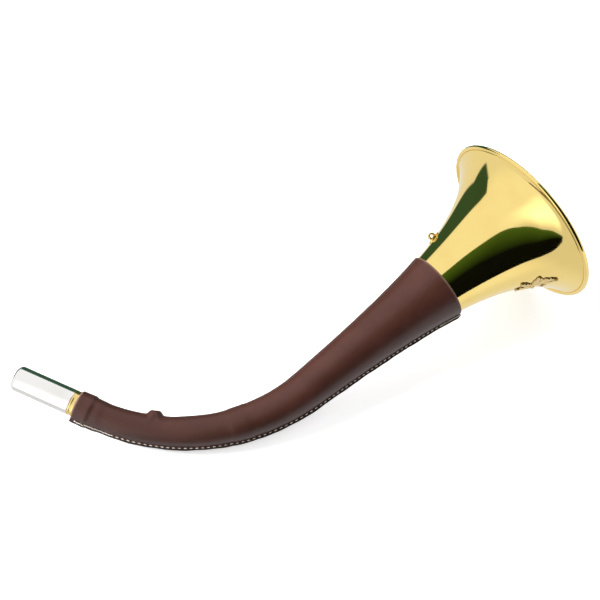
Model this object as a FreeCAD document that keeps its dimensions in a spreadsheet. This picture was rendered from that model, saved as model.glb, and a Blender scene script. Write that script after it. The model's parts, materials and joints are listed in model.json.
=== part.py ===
"""Reed call horn: one curved conical brass tube with a flared bell, a sewn leather cover and a mouthpiece.

Horn frame, in which the curved pieces are drawn: origin at the centre of the bell's rim, +X out of the
bell along its axis, +Y in the plane of the curve towards the side on which the mouthpiece lies, +Z square
to that plane. Mouth frame, in which the turned pieces are drawn: origin at the end of the bend, +X along
the tube's axis towards the player. The whole horn is then laid on its side on the plane Z = 0, where it
rests on the rim and on the cover, as low as its weight can get. "Run" is the distance along the centre
line, behind the rim.
"""
import FreeCAD, Part

import math
import os

import Sketcher
from FreeCAD import Placement, Rotation, Vector

doc = FreeCAD.newDocument("reed_horn")

# ---------------------------------------------------------------- driving dimensions, in mm and degrees
SIZES = [
    # centre line: straight bell, one bend, straight mouth
    ("bell_length", 166.5),        # rim to the start of the bend
    ("bend_radius", 119.0),
    ("bend_angle", 62.0),
    # bore law: radius = flare_radius * flare_lead / (flare_lead + run) + lip_rise * exp(-run / lip_reach)
    ("flare_radius", 53.95),
    ("flare_lead", 40.0),
    ("lip_rise", 1.45),
    ("lip_reach", 4.0),
    ("brass_wall", 0.7),
    ("flare_length", 93.5),        # run of the joint between bell and main branch
    ("ferrule_share", 0.35),       # share of the bend at which the two branches meet
    ("ferrule_length", 10.0),
    ("ferrule_wall", 0.5),
    ("solder_gap", 0.03),
    # rolled rim
    ("bead_radius", 1.3),
    ("wire_radius", 0.75),
    ("wire_gap", 0.02),
    # receiver and reed block
    ("receiver_length", 13.8),
    ("receiver_wall", 0.85),
    ("neck_length", 5.4),          # rear part of the receiver, turned thin
    ("neck_wall", 0.4),
    ("socket_depth", 4.0),         # how far the mouth branch enters the receiver
    ("tenon_radius", 5.6),
    ("tenon_length", 9.3),
    ("running_gap", 0.05),         # radial clearance of both push fits
    ("collar_width", 3.2),
    ("block_wall", 3.1),           # brass round the reed in the spigot
    ("spigot_length", 8.0),
    ("air_radius", 2.4),
    # reed
    ("shallot_radius", 3.4),
    ("shallot_length", 28.0),
    ("shallot_flat", 0.6),         # height of the open face above the axis
    ("shallot_end", 2.0),          # closed end
    ("tongue_width", 5.5),
    ("tongue_thickness", 0.35),
    ("tongue_free", 19.0),
    ("tongue_root", 2.0),
    ("tongue_rise", 2.2),          # opening angle of the free tongue
    ("tongue_gap", 0.05),          # under the root
    ("wedge_gap", 0.10),           # over the root
    # mouthpiece
    ("cap_length", 35.8),
    ("cap_wall", 1.05),
    ("cap_end", 1.2),
    ("cap_round", 3.0),
    ("blow_radius", 3.2),
    # strap eyes
    ("eye_width", 4.4),
    ("eye_height", 3.4),
    ("eye_thickness", 3.4),
    ("eye_hole_radius", 1.0),
    ("eye_seat", 0.15),            # how far the eye is let into its plate
    ("plate_thickness", 0.7),
    ("plate_length", 8.4),
    ("plate_width", 6.6),
    ("plate_spare", 1.0),          # the curved sheet runs on this far past the plate's end before it is cut
    ("bell_eye_run", 49.0),
    # strap stud under the cover
    ("stud_share", 0.748),         # its place along the bend
    ("stud_radius", 2.4),
    ("stud_height", 2.1),
    ("stud_neck_radius", 1.5),
    ("stud_neck", 1.0),            # length of the neck under the head
    # emblem
    ("emblem_run", 20.0),
    ("emblem_turn", 16.0),         # degrees round the bell, from the outer curve towards +Z
    ("emblem_slant", 20.0),        # degrees that the leaf's tip lies further round than its stalk
    ("emblem_length", 26.0),
    ("emblem_width", 15.0),
    ("emblem_height", 1.4),
    # leather cover
    ("leather_wall", 1.25),
    ("leather_gap", 0.1),
    ("leather_edge", 65.5),        # run of the cover's edge on the bell
    ("fin_height", 2.0),
    ("fin_thickness", 2.6),
    ("shoulder_length", 1.8),      # slope from the receiver down to its neck
    # sewing
    ("stitch_length", 2.0),
    ("stitch_pitch", 3.1),
    ("stitch_width", 0.5),
    ("stitch_height", 0.45),
    ("stitch_gap", 0.03),
    ("stitch_inset", 1.4),         # below the fin's outer edge
]

sheet = doc.addObject("Spreadsheet::Sheet", "Sizes")
for row, (alias, value) in enumerate(SIZES, start=1):
    sheet.set(f"A{row}", alias)
    sheet.set(f"B{row}", str(value))
    sheet.setAlias(f"B{row}", alias)
doc.recompute()


def size(alias):
    """The value of one driving dimension."""
    return float(sheet.get(alias))


# ---------------------------------------------------------------- the bore law and the centre line
def law(run):
    """Outer radius of the brass at a run, as an expression on the sheet; run is an expression too."""
    flare = f"Sizes.flare_radius * Sizes.flare_lead / (Sizes.flare_lead + {run})"
    return f"({flare} + Sizes.lip_rise * exp(-({run}) / Sizes.lip_reach))"


def wall(run):
    """Radial thickness of the brass at a run: the sheet's thickness, measured square to the sloping wall."""
    flare = f"Sizes.flare_radius * Sizes.flare_lead / pow(Sizes.flare_lead + {run}; 2)"
    lip = f"Sizes.lip_rise / Sizes.lip_reach * exp(-({run}) / Sizes.lip_reach)"
    return f"(Sizes.brass_wall * sqrt(1 + pow({flare} + {lip}; 2)))"


def radius_at(run):
    """The bore law as a number."""
    flare = size("flare_radius") * size("flare_lead") / (size("flare_lead") + run)
    return flare + size("lip_rise") * math.exp(-run / size("lip_reach"))


def slope_at(run):
    """How fast the radius grows towards the rim at a run."""
    step = 0.01
    return (radius_at(run) - radius_at(run + step)) / step


class Station:
    """One cross-section of the tube: where it stands on the centre line, and its run, as expressions."""

    def __init__(self, run, along, across, turn):
        self.run = run
        self.along = along
        self.across = across
        self.turn = turn

    def placement(self, side="0", lift="0"):
        """A frame square to the centre line, moved to the inner curve's side and up from the horn's plane."""
        x = f"({self.along} + ({side}) * sin({self.turn})) * 1mm"
        y = f"({self.across} + ({side}) * cos({self.turn})) * 1mm"
        return f"placement(vector({x}; {y}; ({lift}) * 1mm); rotation(-({self.turn}); 90deg; 0deg))"


def on_bell(run):
    """A station on the bell's straight axis."""
    return Station(run, f"(-({run}))", "0", "0deg")


def on_bend(share):
    """A station on the bend, from 0 at the bell's end to 1 at the mouth's end."""
    turn = f"(Sizes.bend_angle * {share} * 1deg)"
    run = f"(Sizes.bell_length + Sizes.bend_radius * Sizes.bend_angle * {share} * pi / 180)"
    along = f"(-Sizes.bell_length - Sizes.bend_radius * sin({turn}))"
    return Station(run, along, f"(Sizes.bend_radius * (1 - cos({turn})))", turn)


def on_mouth(distance):
    """A station on the straight mouth, at a distance past the bend."""
    end = on_bend("1")
    along = f"({end.along} - ({distance}) * cos({end.turn}))"
    across = f"({end.across} + ({distance}) * sin({end.turn}))"
    return Station(f"({end.run} + {distance})", along, across, end.turn)


def bend_point(share):
    """Point and inward normal of the bend in the horn frame, as vectors."""
    turn = math.radians(size("bend_angle")) * share
    radius = size("bend_radius")
    point = Vector(-size("bell_length") - radius * math.sin(turn), radius * (1 - math.cos(turn)), 0)
    return point, Vector(math.sin(turn), math.cos(turn), 0), turn


def bend_run(share):
    """Run of a point on the bend."""
    return size("bell_length") + size("bend_radius") * math.radians(size("bend_angle")) * share


# ---------------------------------------------------------------- helpers
def loft(name, stations, radius):
    """A solid of round cross-sections; radius turns a station's run into an expression."""
    sections = []
    for index, station in enumerate(stations):
        circle = doc.addObject("Part::Circle", f"{name}_section_{index}")
        circle.setExpression("Radius", f"({radius(station.run)}) * 1mm")
        circle.setExpression("Placement", station.placement())
        sections.append(circle)
    return finish_loft(name, sections)


def finish_loft(name, sections):
    """A smooth solid through ready sections."""
    solid = doc.addObject("Part::Loft", name)
    solid.Sections = sections
    solid.Solid = True
    solid.Ruled = False
    return solid


def cut(name, base, tool):
    """Base with tool taken away."""
    result = doc.addObject("Part::Cut", name)
    result.Base = base
    result.Tool = tool
    return result


def fuse(name, pieces):
    """Several solids as one."""
    result = doc.addObject("Part::MultiFuse", name)
    result.Shapes = pieces
    return result


def common(name, pieces):
    """What several solids share."""
    result = doc.addObject("Part::MultiCommon", name)
    result.Shapes = pieces
    return result


def cylinder(name, radius, height, placement=None):
    """A cylinder along its own Z; radius and height are expressions."""
    solid = doc.addObject("Part::Cylinder", name)
    solid.setExpression("Radius", f"({radius}) * 1mm")
    solid.setExpression("Height", f"({height}) * 1mm")
    if placement is not None:
        solid.Placement = placement
    return solid


def box(name, length, width, height, corner):
    """A box whose sides and low corner are expressions."""
    solid = doc.addObject("Part::Box", name)
    for side, value in (("Length", length), ("Width", width), ("Height", height)):
        solid.setExpression(side, f"({value}) * 1mm")
    place = "; ".join(f"({value}) * 1mm" for value in corner)
    solid.setExpression("Placement", f"placement(vector({place}); rotation(0deg; 0deg; 0deg))")
    return solid


def tube(name, stations):
    """A brass branch: the bore law outside, less the wall inside."""
    outside = loft(f"{name}_outside", stations, law)
    inside = loft(f"{name}_inside", stations, lambda run: f"{law(run)} - {wall(run)}")
    return cut(name, outside, inside)


def plane_of(body, role):
    """One of a body's own origin planes."""
    return next(item for item in body.Origin.OriginFeatures if item.Role == role)


def outline(body, name, plane, corners):
    """A closed sketch of straight sides whose corners are pairs of expressions."""
    sketch = body.newObject("Sketcher::SketchObject", name)
    sketch.AttachmentSupport = [(plane_of(body, plane), "")]
    sketch.MapMode = "FlatFace"
    values = [(evaluate(across), evaluate(up)) for across, up in corners]
    count = len(corners)
    for index in range(count):
        start = Vector(*values[index], 0)
        end = Vector(*values[(index + 1) % count], 0)
        sketch.addGeometry(Part.LineSegment(start, end), False)
    for index in range(count):
        sketch.addConstraint(Sketcher.Constraint("Coincident", index, 2, (index + 1) % count, 1))
    for index, (corner, value) in enumerate(zip(corners, values)):
        for kind, expression, number in zip(("DistanceX", "DistanceY"), corner, value):
            constraint = sketch.addConstraint(Sketcher.Constraint(kind, -1, 1, index, 1, number))
            sketch.setExpression(f"Constraints[{constraint}]", f"({expression}) * 1mm")
    return sketch


def evaluate(expression):
    """The number that an expression on the sheet gives now."""
    result = sheet.evalExpression(f"({expression}) * 1")
    return float(getattr(result, "Value", result))


def turned(name, corners):
    """A body turned about the mouth frame's X axis from corners (x, radius)."""
    body = doc.addObject("PartDesign::Body", name)
    sketch = outline(body, f"{name}_outline", "XY_Plane", corners)
    spin = body.newObject("PartDesign::Revolution", f"{name}_turning")
    spin.Profile = sketch
    spin.ReferenceAxis = (sketch, ["H_Axis"])
    spin.Angle = 360
    return body


AS_IS = Rotation()
ALONG_X = Rotation(Vector(0, 1, 0), 90)

# ---------------------------------------------------------------- bell with its rolled rim
FLARE_SECTIONS = 12
flare_runs = [
    f"(Sizes.flare_length * {(index / FLARE_SECTIONS) ** 2:.4f})"
    for index in range(FLARE_SECTIONS + 1)]
flare = tube("flare", [on_bell(run) for run in flare_runs])


def rim_ring(name, thickness):
    """A ring round the rim's edge; thickness is the expression of its own radius."""
    ring = doc.addObject("Part::Torus", name)
    ring.setExpression("Radius1", f"({law('0')}) * 1mm")
    ring.setExpression("Radius2", f"({thickness}) * 1mm")
    ring.Placement = Placement(Vector(0, 0, 0), ALONG_X)
    return ring


bead = rim_ring("bead", "Sizes.bead_radius")
wire_space = rim_ring("wire_space", "Sizes.wire_radius + Sizes.wire_gap")
bell = cut("bell", fuse("flare_and_bead", [flare, bead]), wire_space)
rim_wire = rim_ring("rim_wire", "Sizes.wire_radius")

# ---------------------------------------------------------------- the two branches and their ferrule
main_straight = [f"(Sizes.flare_length + (Sizes.bell_length - Sizes.flare_length) * {share})"
                 for share in (0, 0.33, 0.66, 1)]
main_branch = tube(
    "main_branch",
    [on_bell(run) for run in main_straight]
    + [on_bend(f"(Sizes.ferrule_share * {share})") for share in (0.33, 0.66, 1)])
mouth_shares = [f"(Sizes.ferrule_share + (1 - Sizes.ferrule_share) * {share})"
                for share in (0, 0.2, 0.4, 0.6, 0.8, 1)]
mouth_bent = tube("mouth_bent", [on_bend(share) for share in mouth_shares])
mouth_placement = Placement(
    bend_point(1)[0], Rotation(Vector(0, 0, 1), 180 - size("bend_angle")))
mouth_start = mouth_placement * Placement(Vector(0, 0, 0), ALONG_X)
end_radius = law(on_bend("1").run)
mouth_straight = cut(
    "mouth_straight",
    cylinder("mouth_straight_outside", end_radius, "Sizes.socket_depth", mouth_start),
    cylinder("mouth_straight_inside", f"{end_radius} - Sizes.brass_wall", "Sizes.socket_depth",
             mouth_start))
mouth_branch = fuse("mouth_branch", [mouth_bent, mouth_straight])

ferrule_half_share = "(Sizes.ferrule_length / 2 / (Sizes.bend_radius * Sizes.bend_angle * pi / 180))"
ferrule_stations = [
    on_bend(f"(Sizes.ferrule_share + {side} * {ferrule_half_share})") for side in (-1, 0, 1)]


def ferrule_body(name, grow):
    """The ferrule's length of tube, grown by an expression."""
    return loft(name, ferrule_stations, lambda run: f"{law(run)} + {grow}")


branch_ferrule = cut(
    "branch_ferrule",
    ferrule_body("ferrule_outside", "Sizes.solder_gap + Sizes.ferrule_wall"),
    ferrule_body("ferrule_inside", "Sizes.solder_gap"))

# ---------------------------------------------------------------- receiver, reed block and mouthpiece, turned
tube_end = f"({end_radius} + Sizes.solder_gap)"
receiver_out = f"({tube_end} + Sizes.receiver_wall)"
neck_out = f"({tube_end} + Sizes.neck_wall)"
spigot_out = "(Sizes.shallot_radius + Sizes.block_wall)"
cap_bore = f"({spigot_out} + Sizes.running_gap)"
cap_out = f"({cap_bore} + Sizes.cap_wall)"
receiver = turned("receiver", [
    ("0", tube_end),
    ("Sizes.socket_depth", tube_end),
    ("Sizes.socket_depth", "Sizes.tenon_radius + Sizes.running_gap"),
    ("Sizes.receiver_length", "Sizes.tenon_radius + Sizes.running_gap"),
    ("Sizes.receiver_length", receiver_out),
    ("Sizes.neck_length", receiver_out),
    ("Sizes.neck_length", neck_out),
    ("0", neck_out)])

collar_end = "Sizes.tenon_length + Sizes.collar_width"
spigot_end = f"{collar_end} + Sizes.spigot_length"
reed_block = turned("reed_block", [
    ("0", "Sizes.air_radius"),
    (collar_end, "Sizes.air_radius"),
    (collar_end, "Sizes.shallot_radius"),
    (spigot_end, "Sizes.shallot_radius"),
    (spigot_end, spigot_out),
    (collar_end, spigot_out),
    (collar_end, cap_out),
    ("Sizes.tenon_length", cap_out),
    ("Sizes.tenon_length", "Sizes.tenon_radius"),
    ("0", "Sizes.tenon_radius")])

mouthpiece = turned("mouthpiece", [
    ("0", cap_bore),
    ("Sizes.cap_length - Sizes.cap_end", cap_bore),
    ("Sizes.cap_length - Sizes.cap_end", "Sizes.blow_radius"),
    ("Sizes.cap_length", "Sizes.blow_radius"),
    ("Sizes.cap_length", cap_out),
    ("0", cap_out)])
doc.recompute()


def round_edge(body, name, along, radius, amount):
    """Round the circular edge of a turned body that lies at one x and radius, all three as expressions."""
    place, reach = evaluate(along), evaluate(radius)
    base = body.Tip
    for index, edge in enumerate(base.Shape.Edges, start=1):
        circle = edge.Curve
        if isinstance(circle, Part.Circle) and abs(circle.Radius - reach) < 1e-6 \
                and abs(circle.Center.x - place) < 1e-6:
            rounding = body.newObject("PartDesign::Fillet", name)
            rounding.Base = (base, [f"Edge{index}"])
            rounding.setExpression("Radius", f"({amount}) * 1mm")
            doc.recompute()
            return
    raise RuntimeError(f"no edge to round on {body.Label}")


round_edge(mouthpiece, "tip_round", "Sizes.cap_length", cap_out, "Sizes.cap_round")
round_edge(mouthpiece, "tip_inside_round", "Sizes.cap_length - Sizes.cap_end", cap_bore,
           "Sizes.cap_round - Sizes.cap_wall")

# ---------------------------------------------------------------- reed: trough, tongue and wedge
# drawn from the bottom of the block's socket, x towards the player
trough_round = cylinder("trough_round", "Sizes.shallot_radius", "Sizes.shallot_length",
                        Placement(Vector(0, 0, 0), ALONG_X))
trough_bore = cylinder("trough_bore", "Sizes.air_radius", "Sizes.shallot_length - Sizes.shallot_end",
                       Placement(Vector(0, 0, 0), ALONG_X))
over_flat = box("over_flat", "Sizes.shallot_length", "2 * Sizes.shallot_radius", "Sizes.shallot_radius",
                ("0", "-Sizes.shallot_radius", "Sizes.shallot_flat"))
reed_shallot = cut("reed_shallot", trough_round, fuse("trough_space", [trough_bore, over_flat]))

root_low = "(Sizes.shallot_flat + Sizes.tongue_gap)"
root_high = f"({root_low} + Sizes.tongue_thickness)"
rise = "(Sizes.tongue_free * tan(Sizes.tongue_rise * 1deg))"
free_end = "(Sizes.spigot_length + Sizes.tongue_free)"
reed_tongue = doc.addObject("PartDesign::Body", "reed_tongue")
tongue_side = outline(reed_tongue, "tongue_side", "XZ_Plane", [
    ("Sizes.spigot_length - Sizes.tongue_root", root_low),
    ("Sizes.spigot_length", root_low),
    (free_end, f"{root_low} + {rise}"),
    (free_end, f"{root_high} + {rise}"),
    ("Sizes.spigot_length", root_high),
    ("Sizes.spigot_length - Sizes.tongue_root", root_high)])
tongue_pad = reed_tongue.newObject("PartDesign::Pad", "tongue_pad")
tongue_pad.Profile = tongue_side
tongue_pad.Midplane = True
tongue_pad.setExpression("Length", "Sizes.tongue_width * 1mm")

wedge_round = cylinder("wedge_round", "Sizes.shallot_radius", "Sizes.spigot_length",
                       Placement(Vector(0, 0, 0), ALONG_X))
wedge_step = "(Sizes.spigot_length - Sizes.tongue_root - Sizes.wedge_gap)"
wedge_heel = box("wedge_heel", wedge_step, "2 * Sizes.shallot_radius", "Sizes.shallot_radius",
                 ("0", "-Sizes.shallot_radius", "Sizes.shallot_flat"))
wedge_nose = box("wedge_nose", "Sizes.spigot_length", "2 * Sizes.shallot_radius", "Sizes.shallot_radius",
                 ("0", "-Sizes.shallot_radius", f"{root_high} + Sizes.wedge_gap"))
reed_wedge = common("reed_wedge", [wedge_round, fuse("wedge_space", [wedge_heel, wedge_nose])])

# ---------------------------------------------------------------- strap eye and strap stud on their plates
def saddle(name, stations, prism):
    """A plate that follows the tube's outside over a few stations, cut to the prism's outline."""
    outside = loft(
        f"{name}_top", stations, lambda run: f"{law(run)} + Sizes.solder_gap + Sizes.plate_thickness")
    inside = loft(f"{name}_bottom", stations, lambda run: f"{law(run)} + Sizes.solder_gap")
    return common(name, [cut(f"{name}_skin", outside, inside), prism])


def oval_prism(name, placement, reach):
    """A prism of oval section along its own Z, as long as the reach."""
    oval = doc.addObject("Part::Ellipse", f"{name}_oval")
    oval.setExpression("MajorRadius", "Sizes.plate_length / 2 * 1mm")
    oval.setExpression("MinorRadius", "Sizes.plate_width / 2 * 1mm")
    prism = doc.addObject("Part::Extrusion", name)
    prism.Base = oval
    prism.Dir = Vector(0, 0, 1)
    prism.LengthFwd = reach
    prism.Solid = True
    prism.Placement = placement
    return prism


def strap_eye(name):
    """A lug with a round top and a cross hole: x along the horn, y out of the plate, z across."""
    body = doc.addObject("PartDesign::Body", name)
    sketch = body.newObject("Sketcher::SketchObject", f"{name}_side")
    sketch.AttachmentSupport = [(plane_of(body, "XY_Plane"), "")]
    sketch.MapMode = "FlatFace"
    half, high = size("eye_width") / 2, size("eye_height") + size("eye_seat")
    shoulder = high - size("eye_width") / 2
    sketch.addGeometry(Part.LineSegment(Vector(-half, 0, 0), Vector(half, 0, 0)), False)
    sketch.addGeometry(Part.LineSegment(Vector(half, 0, 0), Vector(half, shoulder, 0)), False)
    round_top = Part.Arc(Vector(half, shoulder, 0), Vector(0, high, 0), Vector(-half, shoulder, 0))
    sketch.addGeometry(round_top, False)
    sketch.addGeometry(Part.LineSegment(Vector(-half, shoulder, 0), Vector(-half, 0, 0)), False)
    sketch.addGeometry(Part.Circle(Vector(0, shoulder, 0), Vector(0, 0, 1), size("eye_hole_radius")), False)
    for first, second in ((0, 1), (3, 0)):
        sketch.addConstraint(Sketcher.Constraint("Coincident", first, 2, second, 1))
    sketch.addConstraint(Sketcher.Constraint("Tangent", 1, 2, 2, 1))
    sketch.addConstraint(Sketcher.Constraint("Tangent", 2, 2, 3, 1))
    sketch.addConstraint(Sketcher.Constraint("Horizontal", 0))
    sketch.addConstraint(Sketcher.Constraint("Vertical", 1))
    sketch.addConstraint(Sketcher.Constraint("PointOnObject", 0, 1, -1))
    sketch.addConstraint(Sketcher.Constraint("PointOnObject", 2, 3, -2))
    sketch.addConstraint(Sketcher.Constraint("Coincident", 4, 3, 2, 3))
    for constraint, expression in (
            (Sketcher.Constraint("DistanceX", 0, 1, 0, 2, 2 * half), "Sizes.eye_width"),
            (Sketcher.Constraint("DistanceY", 1, 1, 1, 2, shoulder),
             "Sizes.eye_height + Sizes.eye_seat - Sizes.eye_width / 2"),
            (Sketcher.Constraint("Radius", 4, size("eye_hole_radius")), "Sizes.eye_hole_radius")):
        index = sketch.addConstraint(constraint)
        sketch.setExpression(f"Constraints[{index}]", f"({expression}) * 1mm")
    pad = body.newObject("PartDesign::Pad", f"{name}_pad")
    pad.Profile = sketch
    pad.Midplane = True
    pad.setExpression("Length", "Sizes.eye_thickness * 1mm")
    return body


def stud(name, place):
    """A round stud with a narrower neck, z out of its plate, let in by the eye's seat."""
    foot = cylinder(f"{name}_neck", "Sizes.stud_neck_radius", "Sizes.eye_seat + Sizes.stud_neck", place)
    head = cylinder(f"{name}_head", "Sizes.stud_radius", "Sizes.stud_height - Sizes.stud_neck",
                    place * Placement(Vector(0, 0, size("eye_seat") + size("stud_neck")), AS_IS))
    return fuse(name, [foot, head])


plate_half = "(Sizes.plate_length / 2 + Sizes.plate_spare)"
bell_plate_stations = [
    on_bell(f"(Sizes.bell_eye_run + {plate_half} * {side})") for side in (-1, -0.5, 0, 0.5, 1)]
INWARD = Rotation(Vector(1, 0, 0), -90)
bell_plate_prism = oval_prism(
    "bell_plate_prism", Placement(Vector(-size("bell_eye_run"), 0, 0), INWARD), 2 * radius_at(0))
bell_eye_plate = saddle("bell_eye_plate", bell_plate_stations, bell_plate_prism)
bell_eye = strap_eye("bell_eye")

arc_length = "(Sizes.bend_radius * Sizes.bend_angle * pi / 180)"
stud_plate_stations = [on_bend(f"(Sizes.stud_share + {plate_half} * {side} / {arc_length})")
                        for side in (-1, 0, 1)]
stud_point, stud_normal, stud_angle = bend_point(size("stud_share"))
stud_turn = Rotation(Vector(0, 0, 1), -math.degrees(stud_angle))
stud_plate_prism = oval_prism(
    "stud_plate_prism", Placement(stud_point, stud_turn * INWARD), 2 * radius_at(bend_run(0)))
stud_plate = saddle("stud_plate", stud_plate_stations, stud_plate_prism)
stud_plate_foot = radius_at(bend_run(size("stud_share"))) + size("solder_gap")
stud_foot = stud_plate_foot + size("plate_thickness") - size("eye_seat")
strap_stud = stud("strap_stud", Placement(stud_point + stud_normal * stud_foot, stud_turn * INWARD))

# ---------------------------------------------------------------- emblem: an oak leaf that follows the bell
emblem_reach = "(Sizes.emblem_length / 2)"
emblem_stations = [
    on_bell(f"(Sizes.emblem_run + {emblem_reach} * {side})") for side in (-1.2, -0.6, 0, 0.6, 1.2)]
emblem_skin = cut(
    "emblem_skin",
    loft("emblem_top", emblem_stations, lambda run: f"{law(run)} + Sizes.solder_gap + Sizes.emblem_height"),
    loft("emblem_bottom", emblem_stations, lambda run: f"{law(run)} + Sizes.solder_gap"))


def oak_leaf(length, width, lobes=4):
    """A closed wire of round lobes along both sides of a leaf whose tip points along +X."""
    def half_width(share):
        return width / 2 * (0.35 + 0.65 * math.sin(math.pi * (0.12 + 0.78 * share)))

    notches = [Vector(length * (index / lobes - 0.5), 0.7 * half_width(index / lobes), 0)
               for index in range(lobes + 1)]
    notches[0].y = width * 0.06
    crowns = [Vector(length * ((index + 0.55) / lobes - 0.5), half_width((index + 0.5) / lobes), 0)
              for index in range(lobes)]
    edges = []
    for side in (1, -1):
        def flip(point, side=side):
            return Vector(point.x, side * point.y, 0)
        for first, crown, last in zip(notches, crowns, notches[1:]):
            edges.append(Part.Arc(flip(first), flip(crown), flip(last)).toShape())
        edges.append(Part.LineSegment(flip(notches[0]), Vector(notches[0].x, 0, 0)).toShape())
    tip = notches[-1]
    edges.append(Part.Arc(tip, Vector(tip.x + 0.08 * length, 0, 0), Vector(tip.x, -tip.y, 0)).toShape())
    return Part.Wire(Part.__sortEdges__(edges))


leaf_prism = doc.addObject("Part::Feature", "leaf_prism")
leaf_depth = size("emblem_length")
leaf_face = Part.Face(oak_leaf(size("emblem_length") / 1.08, size("emblem_width")))
leaf_prism.Shape = leaf_face.extrude(Vector(0, 0, leaf_depth))
flare_tilt = math.degrees(math.atan(slope_at(size("emblem_run"))))
emblem_out = Rotation(Vector(1, 0, 0), -size("emblem_turn"))
leaf_lie = (emblem_out * Rotation(Vector(0, 0, 1), -flare_tilt) * Rotation(Vector(1, 0, 0), 90)
            * Rotation(Vector(0, 0, 1), size("emblem_slant")))
leaf_seat = Vector(-size("emblem_run"), -radius_at(size("emblem_run")), 0)
leaf_turn = emblem_out * Rotation(Vector(0, 0, 1), -flare_tilt)
leaf_back = leaf_turn.multVec(Vector(0, 1, 0)) * (leaf_depth / 2)
leaf_prism.Placement = Placement(emblem_out.multVec(leaf_seat) + leaf_back, leaf_lie)
emblem = common("emblem", [emblem_skin, leaf_prism])

# ---------------------------------------------------------------- leather cover with its seam fin
cover_straight = [f"(Sizes.leather_edge + (Sizes.bell_length - Sizes.leather_edge) * {share})"
                  for share in (0, 0.25, 0.5, 0.75, 1)]
BEND_SHARES = (0.15, 0.3, 0.45, 0.6, 0.75, 0.9, 1)
cover_stations = [on_bell(run) for run in cover_straight] + [on_bend(f"{share}") for share in BEND_SHARES]


def cover_body(name, grow):
    """The space from the centre line out to the brass, the receiver and its neck, grown by an expression."""
    along = loft(f"{name}_along", cover_stations, lambda run: f"{law(run)} + {grow}")
    neck = cylinder(f"{name}_neck", f"{neck_out} + {grow}", "Sizes.receiver_length", mouth_start)
    neck_end = mouth_placement * Placement(Vector(size("neck_length"), 0, 0), ALONG_X)
    socket = cylinder(f"{name}_socket", f"{receiver_out} + {grow}",
                      "Sizes.receiver_length - Sizes.neck_length",
                      neck_end)
    shoulder = doc.addObject("Part::Cone", f"{name}_shoulder")
    shoulder.setExpression("Radius1", f"({tube_end} + {grow}) * 1mm")
    shoulder.setExpression("Radius2", f"({receiver_out} + {grow}) * 1mm")
    shoulder.setExpression("Height", "Sizes.shoulder_length * 1mm")
    shoulder.Placement = neck_end * Placement(Vector(0, 0, -size("shoulder_length")), AS_IS)
    return [along, neck, socket, shoulder]


def boss(name, radius, reach):
    """A round post over the strap stud, from the centre line to a reach; both are expressions."""
    return cylinder(name, radius, reach, Placement(stud_point, stud_turn * INWARD))


def fin_section(name, station, radius):
    """One cross-section of the seam fin, on the outer curve's side."""
    plate = doc.addObject("Part::Plane", name)
    plate.setExpression("Length", "Sizes.fin_thickness * 1mm")
    plate.setExpression("Width", "(Sizes.fin_height + Sizes.leather_wall) * 1mm")
    corner = station.placement(f"-({radius} + Sizes.fin_height)", "Sizes.fin_thickness / 2")
    plate.setExpression("Placement", corner)
    return plate


cover_grow = "(Sizes.leather_gap + Sizes.leather_wall)"
fin_sections = [fin_section(f"fin_section_{index}", station, f"{law(station.run)} + {cover_grow}")
                for index, station in enumerate(cover_stations)]
fin_sections += [
    fin_section("fin_shoulder", on_mouth("(Sizes.neck_length - Sizes.shoulder_length)"),
                f"{neck_out} + {cover_grow}"),
    fin_section("fin_receiver", on_mouth("(Sizes.neck_length + Sizes.shoulder_length)"),
                f"{receiver_out} + {cover_grow}"),
    fin_section("fin_mouth", on_mouth("Sizes.receiver_length"), f"{receiver_out} + {cover_grow}")]
fin = finish_loft("fin", fin_sections)

stud_plate_top = f"({law(on_bend('Sizes.stud_share').run)} + Sizes.solder_gap + Sizes.plate_thickness)"
stud_top = f"({stud_plate_top} + Sizes.stud_height)"
plate_curl = "(pow(Sizes.plate_length / 2; 2) / Sizes.bend_radius)"    # the plate's ends rise with the bend
cover_outside = fuse("cover_outside", cover_body("cover_skin", cover_grow) + [
    fin, boss("stud_boss", f"Sizes.stud_radius + {cover_grow}", f"{stud_top} + {cover_grow}")])
cover_inside = fuse("cover_inside", cover_body("cover_bore", "Sizes.leather_gap") + [
    ferrule_body("ferrule_space", "Sizes.solder_gap + Sizes.ferrule_wall + Sizes.leather_gap"),
    boss("stud_space", "Sizes.stud_radius + Sizes.leather_gap", f"{stud_top} + Sizes.leather_gap"),
    boss("plate_space", "Sizes.plate_length / 2 + Sizes.leather_gap",
         f"{stud_plate_top} + {plate_curl} + Sizes.leather_gap")])
leather_sleeve = cut("leather_sleeve", cover_outside, cover_inside)
doc.recompute()


# ---------------------------------------------------------------- sewing: a bar on each face of the fin
def seam_point(distance):
    """Point, tangent and outward normal of the seam line, at a distance along the cover from its bell edge."""
    straight = size("bell_length") - size("leather_edge")
    bend = size("bend_radius") * math.radians(size("bend_angle"))
    grow = size("leather_gap") + size("leather_wall") + size("fin_height") - size("stitch_inset")
    if distance < straight:
        run = size("leather_edge") + distance
        centre, turn, radius = Vector(-run, 0, 0), 0.0, radius_at(run)
    elif distance < straight + bend:
        share = (distance - straight) / bend
        centre, _, turn = bend_point(share)
        radius = radius_at(bend_run(share))
    else:
        centre, _, turn = bend_point(1)
        past = distance - straight - bend
        centre = centre + Vector(-math.cos(turn), math.sin(turn), 0) * past
        rise = (past - size("neck_length") + size("shoulder_length")) / (2 * size("shoulder_length"))
        blend = min(1.0, max(0.0, rise))
        neck = evaluate(neck_out)
        radius = neck + (evaluate(receiver_out) - neck) * blend * blend * (3 - 2 * blend)
    outward = Vector(-math.sin(turn), -math.cos(turn), 0)
    return centre + outward * (radius + grow), turn


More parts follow.
